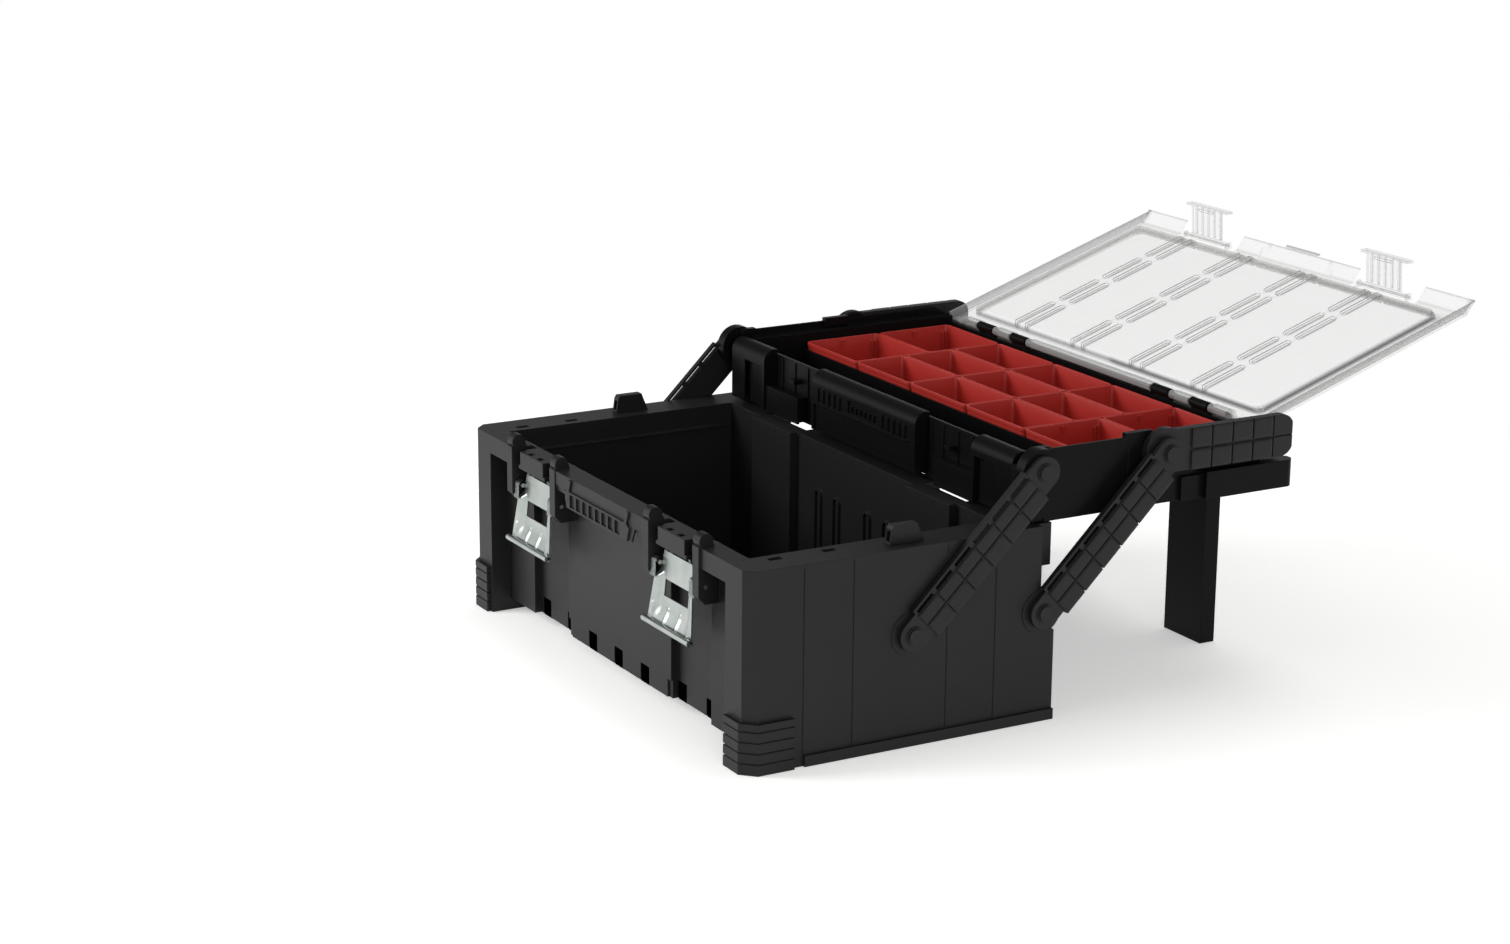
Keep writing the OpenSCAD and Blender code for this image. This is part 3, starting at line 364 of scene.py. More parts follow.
def red_polypropylene():
    """Red polypropylene, satin inside and out: a brick red whose thin rims carry a paler painted highlight."""
    return moulded_plastic(
        "red_polypropylene",
        tones=("#a52923", "#b1322b"),
        edge_highlight="#5a2a25",
        rough=0.40,
        specular=0.30,
        grain_mm=1.2,
        bump_mm=0.02,
        edge_mm=0.6,
    )


def clear_polycarbonate(name, from_edges):
    """Clear polycarbonate: the sheet all but vanishes; edge on it is drawn more solid as a painted reflection, and
    its folds are painted a soft grey as painted shade.

    The folds are found on the edges, or else read from the mesh's fold attribute.
    """
    mat, tree, shader = new_material(name)
    haze = grain(tree, HAZE_MM, 2.0).outputs["Fac"]
    tree.links.new(ramp(tree, haze, *CLEAR_ROUGH), shader.inputs["Roughness"])
    if from_edges:
        line = edge_mask(tree, CLEAR_EDGE_MM)[1]
    else:
        line = add(tree, "ShaderNodeAttribute", attribute_name="fold").outputs["Fac"]
    pale = blend_colour(tree, haze, linear("#cfcfcd"), linear("#dadad8"))
    # painted shade: folds and edges turn the sheet's colour a darker grey
    tone = blend_colour(tree, line, pale, linear("#5d6163"))
    tree.links.new(tone, shader.inputs["Base Color"])
    # painted reflection: edge on, the pale sheet is drawn more solid
    facing = add(tree, "ShaderNodeLayerWeight", None, {"Blend": 0.5}).outputs["Facing"]
    sheet = ramp(tree, facing, *CLEAR_ALPHA, EDGE_ON_FROM, 1.0)
    both = {0: sheet, 1: ramp(tree, line, 0.0, FOLD_ALPHA)}
    body = add(tree, "ShaderNodeMath", both, operation="ADD", use_clamp=True)
    tree.links.new(body.outputs[0], shader.inputs["Alpha"])
    shader.inputs["IOR"].default_value = CLEAR_IOR
    return mat


def plated_steel(name, dark, light, low_rough, high_rough):
    """Steel under a thin plating: a metal with cloudy tint and the streaks of rolling."""
    mat, tree, shader = new_material(name)
    place = add(tree, "ShaderNodeTexCoord").outputs["Object"]
    stretch = {"Scale": (1.0, 1.0, STREAK_STRETCH)}
    drawn = add(tree, "ShaderNodeMapping", {"Vector": place}, stretch).outputs[0]
    fine = {"Scale": 1 / (STREAK_MM * MM), "Detail": 2.0}
    streaks = add(tree, "ShaderNodeTexNoise", {"Vector": drawn}, fine).outputs["Fac"]
    clouds = grain(tree, CLOUD_MM, 2.0).outputs["Fac"]
    tint = blend_colour(tree, clouds, linear(dark), linear(light))
    tree.links.new(tint, shader.inputs["Base Color"])
    tree.links.new(ramp(tree, streaks, low_rough, high_rough), shader.inputs["Roughness"])
    bump = add(tree, "ShaderNodeBump", {"Height": streaks}, STREAK_BUMP)
    tree.links.new(bump.outputs[0], shader.inputs["Normal"])
    shader.inputs["Metallic"].default_value = 1.0
    return mat


def zinc_plated_steel():
    """Zinc with a clear passivate on pressed sheet: bright silver with a faint green in it."""
    return plated_steel("zinc_plated_steel", "#98a49f", "#bdbfbd", 0.24, 0.44)


def dull_nickel_steel():
    """Nickel on fine wire, never polished: pale and matt, so that it hardly shows on white."""
    return plated_steel("dull_nickel_steel", "#e2e4e4", "#efefee", 0.6, 0.75)


# ---- making pieces ----

SLOT_OF = {row["node"]: row["material_slot"] for row in frame["record"]["subparts"]}
JOINT = {row["name"]: row for row in frame["joints"]}
SMOOTH_NODES = ("tray_body", "tray_grip_block", "lid_keepers", "leg_left", "leg_right")
SHARP_FROM_DEG = 38


def finish_nodes(finishes):
    """Gives every CAD node the finish of its slot.

    The tray and its legs have a smoother black, and the lid latches' pins a dull plating.
    """
    for name, node in NODES.items():
        key = "tray_plastic" if name in SMOOTH_NODES else SLOT_OF[name]
        if name == "lid_latch_pins":
            key = "dull_steel"
        node.data.materials.clear()
        node.data.materials.append(finishes[key])


def shell(rings):
    """Rings of points joined one to the next into a skin, with its two ends filled."""
    bm = bmesh.new()
    rows = [[bm.verts.new(p) for p in ring] for ring in rings]
    for low, high in zip(rows, rows[1:]):
        n = len(low)
        for k in range(n):
            bm.faces.new((low[k], low[(k + 1) % n], high[(k + 1) % n], high[k]))
    bm.faces.new(rows[0][::-1])
    bm.faces.new(rows[-1])
    return bm


def as_piece(name, parts, finish, body, stands_for=(), move=None, mark=None):
    """Joins bmeshes drawn in millimetres into one piece in metres that rides on a body.

    stands_for names the CAD nodes that it replaces, and move places it. mark gives a point's
    least fold value, its painted grey shade, for a piece whose first part has a fold layer.
    """
    whole = bpy.data.meshes.new(name)
    joined = bmesh.new()
    for part in parts:
        bmesh.ops.recalc_face_normals(part, faces=part.faces)
        part.to_mesh(whole)
        part.free()
        joined.from_mesh(whole)
    if mark is not None:
        fold = joined.verts.layers.float.get("fold")
        for vert in joined.verts:
            vert[fold] = max(vert[fold], mark(vert.co))
    if move is not None:
        bmesh.ops.transform(joined, matrix=move, verts=joined.verts)
        if move.determinant() < 0:
            bmesh.ops.reverse_faces(joined, faces=joined.faces)
    bmesh.ops.scale(joined, vec=(MM, MM, MM), verts=joined.verts)
    joined.to_mesh(whole)
    joined.free()
    for face in whole.polygons:
        face.use_smooth = True
    whole.set_sharp_from_angle(angle=math.radians(SHARP_FROM_DEG))
    whole.materials.append(finish)
    piece = bpy.data.objects.new(name, whole)
    bpy.context.scene.collection.objects.link(piece)
    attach(piece, body)
    if stands_for:
        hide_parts(*stands_for)


def node_box(name):
    """A CAD node's lowest and highest corner in millimetres."""
    low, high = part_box(name)
    return low / MM, high / MM


def round_ring(x0, x1, y0, y1, inset, radius, z, steps=5):
    """A rectangle with round corners at height z."""
    r = max(radius, 0.05)
    x0, x1, y0, y1 = x0 + inset, x1 - inset, y0 + inset, y1 - inset
    points = []
    left, right, front, back = x0 + r, x1 - r, y0 + r, y1 - r
    centres = ((right, back, 0), (left, back, 90), (left, front, 180), (right, front, 270))
    for cx, cy, start in centres:
        for k in range(steps + 1):
            a = math.radians(start + 90 * k / steps)
            points.append((cx + r * math.cos(a), cy + r * math.sin(a), z))
    return points


def prism(points, axis_from, axis_to, axis):
    """A flat outline pushed along one axis; its points give the other two coordinates."""
    rings = []
    for at in (axis_from, axis_to):
        ring = []
        for p in points:
            q = list(p)
            q.insert(axis, at)
            ring.append(tuple(q))
        rings.append(ring)
    return shell(rings)


def smooth_step(a, b, x):
    """0 at a and beyond it, 1 at b and beyond it, smooth between; a may be the larger."""
    t = min(max((x - a) / (b - a), 0), 1)
    return t * t * (3 - 2 * t)


# ---- the red bins ----

BIN_WALL = 1.6
BIN_TAPER = 2.4
RIM_DEPTH = 4.2
# the wall steps in by this under the rim, and the inside by as much from the taper
STEP_IN = 0.5
# radius of the cove between the walls and the floor, and what the corners gain along it
COVE, COVE_CORNER = 7, 5
COVE_STEPS = 5
# bins deeper than this have divider ribs, at these shares of their depth, and wedges
LONG_BIN = 70
DIVIDER_AT = (0.885, 0.93)
DIVIDER_RIB = 1.5
WEDGE_HALF, WEDGE_OUT = 4, 1.7


def bin_piece(name, finish):
    """A bin with a rounded rim, tapering walls and a coved floor, in its CAD node's box."""
    low, high = node_box(name)
    x0, x1, y0, y1, z0, z1 = low.x, high.x, low.y, high.y, low.z, high.z

    def side(z):
        return BIN_TAPER * (1 - (z - z0) / (z1 - z0))

    rim = z1 - RIM_DEPTH
    under_rim = side(rim) + STEP_IN
    # inset, corner radius and height: up the outside, over the rim and down the inside
    profile = [
        (BIN_TAPER + 2.0, 3.4, z0),
        (BIN_TAPER + 0.5, 4.6, z0 + 0.5),
        (side(z0 + 2), 5.0, z0 + 2),
        (under_rim, 4.8, rim - 0.3),
        (under_rim, 4.8, rim),
        (0.06, 5.2, rim + 0.5),
        (0.02, 5.2, z1 - 0.8),
        (0.25, 5.0, z1 - 0.2),
        (0.75, 4.6, z1),
        (1.35, 4.2, z1),
        (1.9, 3.8, z1 - 0.25),
        (2.15, 3.6, z1 - 0.9),
    ]
    for z in (z1 - 12, z0 + 8.6):
        profile.append((side(z) + BIN_WALL + STEP_IN, 3.6, z))
    for k in range(1, COVE_STEPS + 1):
        a = math.radians(90 * k / COVE_STEPS)
        z = z0 + BIN_WALL + COVE * (1 - math.sin(a))
        inset = side(z) + BIN_WALL + STEP_IN + COVE * (1 - math.cos(a))
        profile.append((inset, 3.6 + COVE_CORNER * (1 - math.cos(a)), z))
    parts = [shell([round_ring(x0, x1, y0, y1, *row) for row in profile])]
    if y1 - y0 > LONG_BIN:
        reach = side(z1 - 20) + BIN_WALL + 2.2
        for share in DIVIDER_AT:
            y = y0 + (y1 - y0) * share
            for a, b in ((x0 + 1.2, x0 + reach), (x1 - reach, x1 - 1.2)):
                rib = [(a, z0 + 2.5), (b, z0 + 2.5), (b, z1 - 7), (a, z1 - 5.5)]
                parts.append(prism(rib, y, y + DIVIDER_RIB, 1))
        middle = (y0 + y1) / 2
        wedge = [(middle - WEDGE_HALF, z1 - 2.2), (middle + WEDGE_HALF, z1 - 2.2)]
        wedge.append((middle, z1 - 9.5))
        for wall_x, into in ((x0 + 1.8, 1), (x1 - 1.8, -1)):
            a, b = sorted((wall_x, wall_x + into * WEDGE_OUT))
            parts.append(prism(wedge, a, b, 0))
    as_piece(name + "_moulding", parts, finish, name, (name,))


# ---- the base ----

# middles of the notches across the front wall and across the latch bays, which lie deeper
FRONT_NOTCHES = (0, 52.5)
BAY_NOTCHES = (111.5, 165)
BAY_DEEP = 7.0
NOTCH_HALF = 8.4
NOTCH_LOW, NOTCH_HIGH = 12.2, 29.9
WALL_FRONT = -137.0
# how far behind the wall's face a plate begins and ends
PLATE_FROM, PLATE_TO = 0.7, 1.9


def notch_shade_plates(finish):
    """Painted shade: near-black plates in the shallow recesses along the front wall's foot.

    They stand in for the shadow down the open holes that the photo shows there.
    """
    parts = []
    for x in FRONT_NOTCHES + BAY_NOTCHES:
        face = WALL_FRONT + (BAY_DEEP if x in BAY_NOTCHES else 0)
        for at in sorted({x, -x}):
            a, b = at - NOTCH_HALF, at + NOTCH_HALF
            plate = [(a, NOTCH_LOW), (b, NOTCH_LOW), (b, NOTCH_HIGH), (a, NOTCH_HIGH)]
            parts.append(prism(plate, face + PLATE_FROM, face + PLATE_TO, 1))
    as_piece("notch_shade_plates", parts, finish, "base")


# ---- the steel latches ----

# Lengths along the sheet are heights above (+) or below (-) the pivot.
LATCH_TOP = 12.0
LATCH_FOOT = -53.0
LATCH_SHEET = 1.5
LATCH_LEAN = 6.0
# half width, foot and top of the window
WINDOW = (22.0, -28.0, -12.0)
WINDOW_COLUMNS = 62
SIDE_COLUMNS = 24
FACE_ROWS = 64
# the middle lies this far behind the edges, and the sheet this far in front of the pivot
RECESS = 4.4
FORWARD = 2.7
NECK_FROM, NECK_FULL = -13, -6
RIBS = (-33.3, -11.1, 11.1, 33.3)
RIB_HEAD = -37.5
# the lip: half its width, the radius it turns out at, and where its roll sits, with the
# roll's radius and degrees
LIP_HALF = 43.0
LIP_BEND = 1.4
LIP_OUT = 5.2
LIP_ROLL = 1.5
LIP_TURN = 200
# the ears that curl round the pin: their two sides, and a radius that shrinks at each step
EAR = (31.0, 40.6)
EAR_R, EAR_SHRINK = 4.9, 0.055
EAR_SHEET = 1.5
PIN_FROM = 31.5
HOOKS = ((-29, -24), (-19, -15), (15, 19), (24, 29))
HOOK_SHEET = 1.4


def outline_at(v):
    """Half the width of the pressed sheet at height v above its pivot."""
    stops = [(LATCH_TOP, 29.0), (2.0, 30.5), (-3.0, 31.5), (-7.0, 34.5), (-12.0, 34.8)]
    stops += [(LATCH_FOOT, EAR[1]), (-80, EAR[1])]
    for (v0, w0), (v1, w1) in zip(stops, stops[1:]):
        if v >= v1:
            return w0 + (w1 - w0) * (v0 - v) / (v0 - v1)
    return stops[-1][1]


def relief_at(u, v, half):
    """How far the sheet lies behind its edges, less what its ribs and folds stand out."""
    neck = smooth_step(NECK_FROM, NECK_FULL, v)
    depth = RECESS * max(neck, smooth_step(half - 2.5, WINDOW[0] + 1.5, abs(u)))
    depth *= smooth_step(LATCH_FOOT + 1, -36, v)
    fold = 0.5 * math.exp(-(((abs(u) - half + 7.5) / 1.1) ** 2))
    rib = 0.0
    for x in RIBS:
        head = math.exp(-(((u - x) / 2.4) ** 2 + ((v - RIB_HEAD) / 2.2) ** 2))
        stem = math.exp(-(((u - x) / 1.7) ** 2) - (max(v - RIB_HEAD + 1, 0) / 1.5) ** 2)
        rib = max(rib, 1.0 * stem, 1.1 * head)
    depth -= rib * smooth_step(LATCH_FOOT, LATCH_FOOT + 2, v)
    return depth - fold * smooth_step(-4, -14, v)


def sheet_rows():
    """Height on the sheet, y and z of each row: down the face, out and round the rolled lip."""
    rows = []
    for k in range(FACE_ROWS + 1):
        v = LATCH_TOP + (LATCH_FOOT - LATCH_TOP) * k / FACE_ROWS
        rows.append((v, -FORWARD, v))
    for k in range(1, 7):
        a = math.radians(90 * k / 6)
        y = -FORWARD - LIP_BEND + LIP_BEND * math.cos(a)
        rows.append((LATCH_FOOT - 0.01, y, LATCH_FOOT - LIP_BEND * math.sin(a)))
    below = LATCH_FOOT - 0.02
    rows.append((below, -LIP_OUT, LATCH_FOOT - LIP_BEND))
    for k in range(1, 9):
        a = math.radians(LIP_TURN * k / 8)
        z = LATCH_FOOT + 0.1 - LIP_ROLL * math.cos(a)
        rows.append((below, -LIP_OUT - LIP_ROLL * math.sin(a), z))
    return rows


def pressed_sheet():
    """The sheet as a grid of rows and columns, with the window left out."""
    w = WINDOW[0]
    inner = [-w + 2 * w * k / WINDOW_COLUMNS for k in range(WINDOW_COLUMNS + 1)]
    rows = sheet_rows()
    bm = bmesh.new()
    grid = []
    for v, y, z in rows:
        half = outline_at(v) if v > LATCH_FOOT else LIP_HALF
        outer = [w + (half - w) * k / SIDE_COLUMNS for k in range(1, SIDE_COLUMNS + 1)]
        across = [-x for x in reversed(outer)] + inner + outer
        line = []
        for u in across:
            back = relief_at(u, v, half) if v >= LATCH_FOOT else 0.0
            line.append(bm.verts.new((u, y + back, z)))
        grid.append(line)
    for i in range(len(rows) - 1):
        mid_v = (rows[i][0] + rows[i + 1][0]) / 2
        window_row = WINDOW[1] < mid_v < WINDOW[2]
        for k in range(len(grid[0]) - 1):
            mid_u = (grid[i][k].co.x + grid[i][k + 1].co.x) / 2
            if window_row and abs(mid_u) < w:
                continue
            bm.faces.new((grid[i][k], grid[i + 1][k], grid[i + 1][k + 1], grid[i][k + 1]))
    return thicken(bm, LATCH_SHEET)


def thicken(bm, by):
    """Gives an open sheet a thickness behind its face."""
    bmesh.ops.recalc_face_normals(bm, faces=bm.faces)
    front = sum(f.normal.y * f.calc_area() for f in bm.faces)
    if front > 0:
        bmesh.ops.reverse_faces(bm, faces=bm.faces)
    bmesh.ops.solidify(bm, geom=bm.faces[:], thickness=by)
    return bm


def curled_strip(x0, x1, path, by):
    """A strip from x0 to x1 that follows a path of y and z."""
    bm = bmesh.new()
    rows = [[bm.verts.new((x, y, z)) for x in (x0, (x0 + x1) / 2, x1)] for y, z in path]
    for a, b in zip(rows, rows[1:]):
        for k in (0, 1):
            bm.faces.new((a[k], b[k], b[k + 1], a[k + 1]))
    bmesh.ops.solidify(bm, geom=bm.faces[:], thickness=by)
    return bm


def latch_pin_ends(finish):
    """The latches' pivot pins where they show, in the pillars and the ears.

    The sheet's neck lies across the rest of them.
    """
    low, high = node_box("latch_pins")
    y, z, r = (low.y + high.y) / 2, (low.z + high.z) / 2, (high.z - low.z) / 2
    bay = JOINT["latch_right_hinge"]["pos_m"][0] / MM
    reach = high.x - bay
    turns = [math.radians(k * 360 / 24) for k in range(24)]
    circle = [(y + r * math.cos(a), z + r * math.sin(a)) for a in turns]
    parts = []
    for side in (1, -1):
        for near, far in ((-reach, -PIN_FROM), (PIN_FROM, reach)):
            parts.append(prism(circle, side * bay + near, side * bay + far, 0))
    as_piece("latch_pin_ends", parts, finish, "base", ("latch_pins",))


def steel_latch(side, finish):
    """A pressed latch with its ears and hooks, leaning as it hangs in the photo."""
    name = "latch_plate_" + side
    pivot = Vector(JOINT[f"latch_{side}_hinge"]["pos_m"]) / MM
    parts = [pressed_sheet()]
    # each ear runs up in front of the pin, over it and round behind
    ear = [(-FORWARD - 1.45, -13.0), (-FORWARD - 1.6, -7.0), (-FORWARD - 1.9, -3.0)]
    for k in range(19):
        a = math.radians(178 - 18 * k)
        r = EAR_R - EAR_SHRINK * k
        ear.append((r * math.cos(a), r * math.sin(a)))
    for x0, x1 in ((-EAR[1], -EAR[0]), EAR):
        parts.append(curled_strip(x0, x1, ear, -EAR_SHEET))
    # hooks at the top edge reach under the moulded block
    hook = [(2.5, -4), (2.3, 0), (1.6, 2.4), (0.4, 4.2)]
    hook = [(y, LATCH_TOP + z) for y, z in hook]
    for x0, x1 in HOOKS:
        parts.append(curled_strip(x0, x1, hook, HOOK_SHEET))
    lean = Matrix.Rotation(math.radians(-LATCH_LEAN), 4, "X")
    move = Matrix.Translation(pivot) @ lean
    piece = f"pressed_latch_{side}"
    as_piece(piece, parts, finish, "latch_" + side, (name,), move)


# ---- the clear lid ----

LID_T = 2.2
LID_HALF = 257.5
LID_REACH = 273.0
LID_RISE = 9.5
# depth of the sloping lip along the front, and its slope
LID_OVER = 13.0
LIP_SLOPE = 0.78
PANEL_HALF = 238.0
PANEL_R = 8.0
PANEL_DROP = 9.2
# two rows of dashes to each line, four dashes to a row
DASH_X = (49.4, 148.2)
DASH_OFF = 9.0
DASH_R = 3.0
DASH_DEEP = 1.6
DASH_COUNT = 4
DASH_START, DASH_END = 0.5, 8.5
DASH_GAP = 8
FIRST_DASH_MORE = 6
# a raised pane on the middle of the lip, narrower towards the edge
PANE_HALF = 58
PANE_SLANT = 0.9
PANE_BACK = 24
PANE_RISE = 0.8
# cut-outs for the lid latches
BAY_X = 140.5
CUT_HALF = 49.0
CUT_DEEP = 19
SKIRT_R = 2.5
GRID_COARSE = 11
GRID_FINE = 0.25
# grid lines this far inside the panel's outline, and this far from a dash's middle
BY_PANEL = (-1.6, -0.8, 0, 0.8, 1.6, 2.4, 3.2, 4.5, 6, 8, 11, 14)
BY_DASH = (-3.6, -3.1, -2.7, -2.3, -1.8, 0, 1.8, 2.3, 2.7, 3.1, 3.6)
# hinge posts on the tray that the lid's tubes leave room for
POST_X = (120, 180)
POST_HALF = 13
KNUCKLE_GAP = 2.6
KNUCKLE_END = 222
KNUCKLE_R = 4.4


class LidPlan:
    """The closed lid's lines in millimetres, worked out from the hinge."""

    hinge = Vector(JOINT["lid_hinge"]["pos_m"]) / MM
    top = hinge.z + LID_RISE
    front = hinge.y - LID_REACH
    back = hinge.y - 3.6
    lip = front + LID_OVER
    panel_y0 = front + 32
    panel_y1 = hinge.y - 22
    dash_pitch = (panel_y1 - panel_y0 + DASH_GAP) / DASH_COUNT
    open_angle = math.radians(JOINT["lid_hinge"]["range_deg"][0])


def panel_distance(x, y):
    """Millimetres outside the sunk panel's outline, negative inside it."""
    lid = LidPlan
    middle = (lid.panel_y0 + lid.panel_y1) / 2
    dx = abs(x) - (PANEL_HALF - PANEL_R)
    dy = abs(y - middle) - ((lid.panel_y1 - lid.panel_y0) / 2 - PANEL_R)
    return math.hypot(max(dx, 0), max(dy, 0)) + min(max(dx, dy), 0) - PANEL_R


def dashes_near(x, y):
    """Offset across each dash near a point, and the distance from the dash's middle line."""
    lid = LidPlan
    for centre in DASH_X:
        for off in (-DASH_OFF, DASH_OFF):
            for side in (-1, 1):
                d_x = x - side * (centre + off)
                if abs(d_x) > DASH_R + 1:
                    continue
                for k in range(DASH_COUNT):
                    a = lid.panel_y0 + k * lid.dash_pitch + DASH_START + DASH_R
                    if k == 0:
                        a -= FIRST_DASH_MORE
                    b = lid.panel_y0 + (k + 1) * lid.dash_pitch - DASH_END - DASH_R
                    yield d_x, math.hypot(d_x, max(a - y, y - b, 0))


def lid_relief(x, y):
    """Height of the closed lid's sheet below its rim: sunk panel, dashes and sloping lip."""
    lid = LidPlan
    outside = panel_distance(x, y)
    z = -PANEL_DROP * smooth_step(0.6, -2.2, outside)
    if outside < 12:
        for _, d in dashes_near(x, y):
            z -= DASH_DEEP * smooth_step(DASH_R + 0.1, DASH_R - 0.9, d)
    slope = smooth_step(lid.lip + 1.5, lid.lip - 1.5, y)
    z -= slope * (lid.lip - y) * LIP_SLOPE
    pane = smooth_step(1.0, -1.0, abs(x) - PANE_HALF + (lid.lip - y) * PANE_SLANT)
    pane *= smooth_step(lid.front + 1.5, lid.front + 3.0, y)
    pane *= smooth_step(lid.front + PANE_BACK + 1, lid.front + PANE_BACK - 1, y)
    return z + PANE_RISE * pane


def line_at(distance, half):
    """A soft line, 1 in its middle and almost 0 at twice its half width."""
    return math.exp(-((distance / half) ** 2))


def lid_edges(point):
    """The lid's outer edges, its skirt's corner and its hinge tubes get some painted grey shade."""
    lid = LidPlan
    corner = LID_HALF - 2.4 < abs(point.x) < LID_HALF - 1.4
    foot = abs(point.x) > LID_HALF - 3 and point.z < lid.top - 9
    ends = point.y < lid.front + 1 or point.y > lid.back - 0.3
    return 0.5 if ends or corner or foot else 0.0


def lid_lines(x, y):
    """How strongly the sheet is painted grey, as painted shade.

    Painted shade lines follow its turns, and a weak painted band lies along the panel's front.
    As in the photo, the panel's outline is darker on the right half, and a dash's on its left
    and its ends: painted shade from the side the light falls.
    """
    lid = LidPlan
    outside = panel_distance(x, y)
    fold = (0.9 if x > 0 else 0.6) * line_at(outside + 0.8, 0.6)
    if y < lid.panel_y0 + PANEL_R:
        fold = max(fold, 0.2 * smooth_step(-5, -1, outside) * smooth_step(9, 4, outside))
    fold = max(fold, 0.35 * line_at(y - lid.lip, 1.0))
    if y < lid.lip:
        flank = abs(x) - PANE_HALF + (lid.lip - y) * PANE_SLANT
        end = y - lid.front - PANE_BACK
        fold = max(fold, 0.3 * line_at(flank, 0.9), 0.3 * line_at(end, 0.8))
    if outside < 4:
        for d_x, d in dashes_near(x, y):
            dark = d_x < -DASH_R * 0.5 or d > d_x * 1.2 + 1
            fold = max(fold, (0.9 if dark else 0.55) * line_at(d - DASH_R + 0.3, 0.5))
    return fold


def cuts(fixed, low, high):
    """Sorted grid lines: the fixed ones, and more between them where a gap is coarse."""
    kept = {round(v, 3) for v in fixed if low <= v <= high}
    lines = sorted(kept | {round(low, 3), round(high, 3)})
    out = [lines[0]]
    for v in lines[1:]:
        if v - out[-1] < GRID_FINE:
            continue
        n = max(1, math.ceil((v - out[-1]) / GRID_COARSE))
        start = out[-1]
        out += [start + (v - start) * k / n for k in range(1, n + 1)]
    return out


def lid_columns():
    """The x of the lid's grid lines, each with how far the side skirts hang down there."""
    xs = [PANEL_HALF - d for d in BY_PANEL]
    xs += [c + o + d for c in DASH_X for o in (-DASH_OFF, DASH_OFF) for d in BY_DASH]
    xs += [BAY_X - CUT_HALF, BAY_X + CUT_HALF]
    xs += [PANE_HALF + d for d in (-1, 0, 1, -2, -6, -10, -12)]
    flat = LID_HALF - SKIRT_R
    right = cuts(xs, 0, flat)
    both = [-x for x in reversed(right[1:])] + right
    across = [(x, 0) for x in both]
    skirt = [(0.9, -0.15), (1.8, -0.7), (2.4, -1.6), (SKIRT_R, -3.0), (SKIRT_R, -9.9)]
    left = [(-flat - dx, dz) for dx, dz in reversed(skirt)]
    return left + across + [(flat + dx, dz) for dx, dz in skirt]


def lid_rows():
    """The y of the lid's grid lines: close together where the sheet turns."""
    lid = LidPlan
    ys = [lid.front + d for d in (1.5, 2.2, 3, 11, 12, 13, 14, 15, CUT_DEEP, 23, 24, 25)]
    for edge, way in ((lid.panel_y0, 1), (lid.panel_y1, -1)):
        ys += [edge + way * d for d in BY_PANEL]
    for k in range(DASH_COUNT):
        a = lid.panel_y0 + k * lid.dash_pitch + DASH_START
        b = lid.panel_y0 + (k + 1) * lid.dash_pitch - DASH_END
        ys += [v for d in (-0.4, 0.4, 1.1, 1.8, 2.6, 3.6) for v in (a + d, b - d)]
    return cuts(ys, lid.front, lid.back)


def lid_sheet():
    """The closed lid's sheet with its skirts, its two cut-outs and its fold values, its painted grey shade."""
    lid = LidPlan
    across, down = lid_columns(), lid_rows()
    bm = bmesh.new()
    grid = []
    for y in down:
        hang = max(0.0, 1 - max(0.0, lid.lip - y) / LID_OVER)
        points = [(x, y, lid.top + lid_relief(x, y) + dz * hang) for x, dz in across]
        grid.append([bm.verts.new(p) for p in points])
    for i in range(len(down) - 1):
        y = (down[i] + down[i + 1]) / 2
        for k in range(len(across) - 1):
            x = abs(across[k][0] + across[k + 1][0]) / 2
            if abs(x - BAY_X) < CUT_HALF and y < lid.front + CUT_DEEP:
                continue
            bm.faces.new((grid[i][k], grid[i][k + 1], grid[i + 1][k + 1], grid[i + 1][k]))
    fold = bm.verts.layers.float.new("fold")
    for vert in bm.verts:
        vert[fold] = lid_lines(vert.co.x, vert.co.y)
    bmesh.ops.delete(bm, geom=[v for v in bm.verts if not v.link_faces], context="VERTS")
    bmesh.ops.recalc_face_normals(bm, faces=bm.faces)
    if sum(f.normal.z for f in bm.faces) < 0:
        bmesh.ops.reverse_faces(bm, faces=bm.faces)
    bmesh.ops.solidify(bm, geom=bm.faces[:], thickness=LID_T)
    return bm


def knuckle(x0, x1):
    """A hinge tube and the web that carries it, in one profile."""
    hinge, lid = LidPlan.hinge, LidPlan
    web_top = lid.top - LID_T + 0.3
    profile = [(lid.back - 5, web_top), (lid.back - 0.6, web_top)]
    for k in range(25):
        a = math.radians(150 - 300 * k / 24)
        profile.append((hinge.y + KNUCKLE_R * math.cos(a), hinge.z + KNUCKLE_R * math.sin(a)))
    profile += [(hinge.y - 8, hinge.z - 0.6), (hinge.y - 8.8, hinge.z + 1.5)]
    return prism(profile, x0, x1, 0)


def clear_lid(finish):
    """The lid with its hinge tubes, the latches' ears and its finger tab, laid back open."""
    lid = LidPlan
    parts = [lid_sheet()]
    room = POST_HALF + KNUCKLE_GAP
    spans = [(-POST_X[0] + room, POST_X[0] - room)]
    for flip in (1, -1):
        for a, b in ((POST_X[0] + room, POST_X[1] - room), (POST_X[1] + room, KNUCKLE_END)):
            spans.append(tuple(sorted((flip * a, flip * b))))
        # ears that hold a latch's pin at the two ends of its cut-out
        for d in (-38.5, 36):
            x = flip * BAY_X + d
            ear = [(11, -7), (18, -7), (21, -1), (12, -0.6)]
            ear = [(lid.front + y, lid.top + z) for y, z in ear]
            parts.append(prism(ear, x, x + 2.5, 0))
    parts += [knuckle(a, b) for a, b in spans]
    # finger tab on the lip
    low = lid.top - 12.4
    tab = [(-26, -3), (-24, 1.5), (24, 1.5), (26, -3)]
    tab = [(x, lid.front + y) for x, y in tab]
    parts.append(prism(tab, low, low + 1.6, 2))
    turn = Matrix.Translation(lid.hinge) @ Matrix.Rotation(lid.open_angle, 4, "X")
    move = turn @ Matrix.Translation(-lid.hinge)
    stands_for = ("lid_panel",)
    as_piece("clear_lid", parts, finish, "lid", stands_for, move, lid_edges)


# ---- repeated ribs and tiles, made by geometry nodes ----


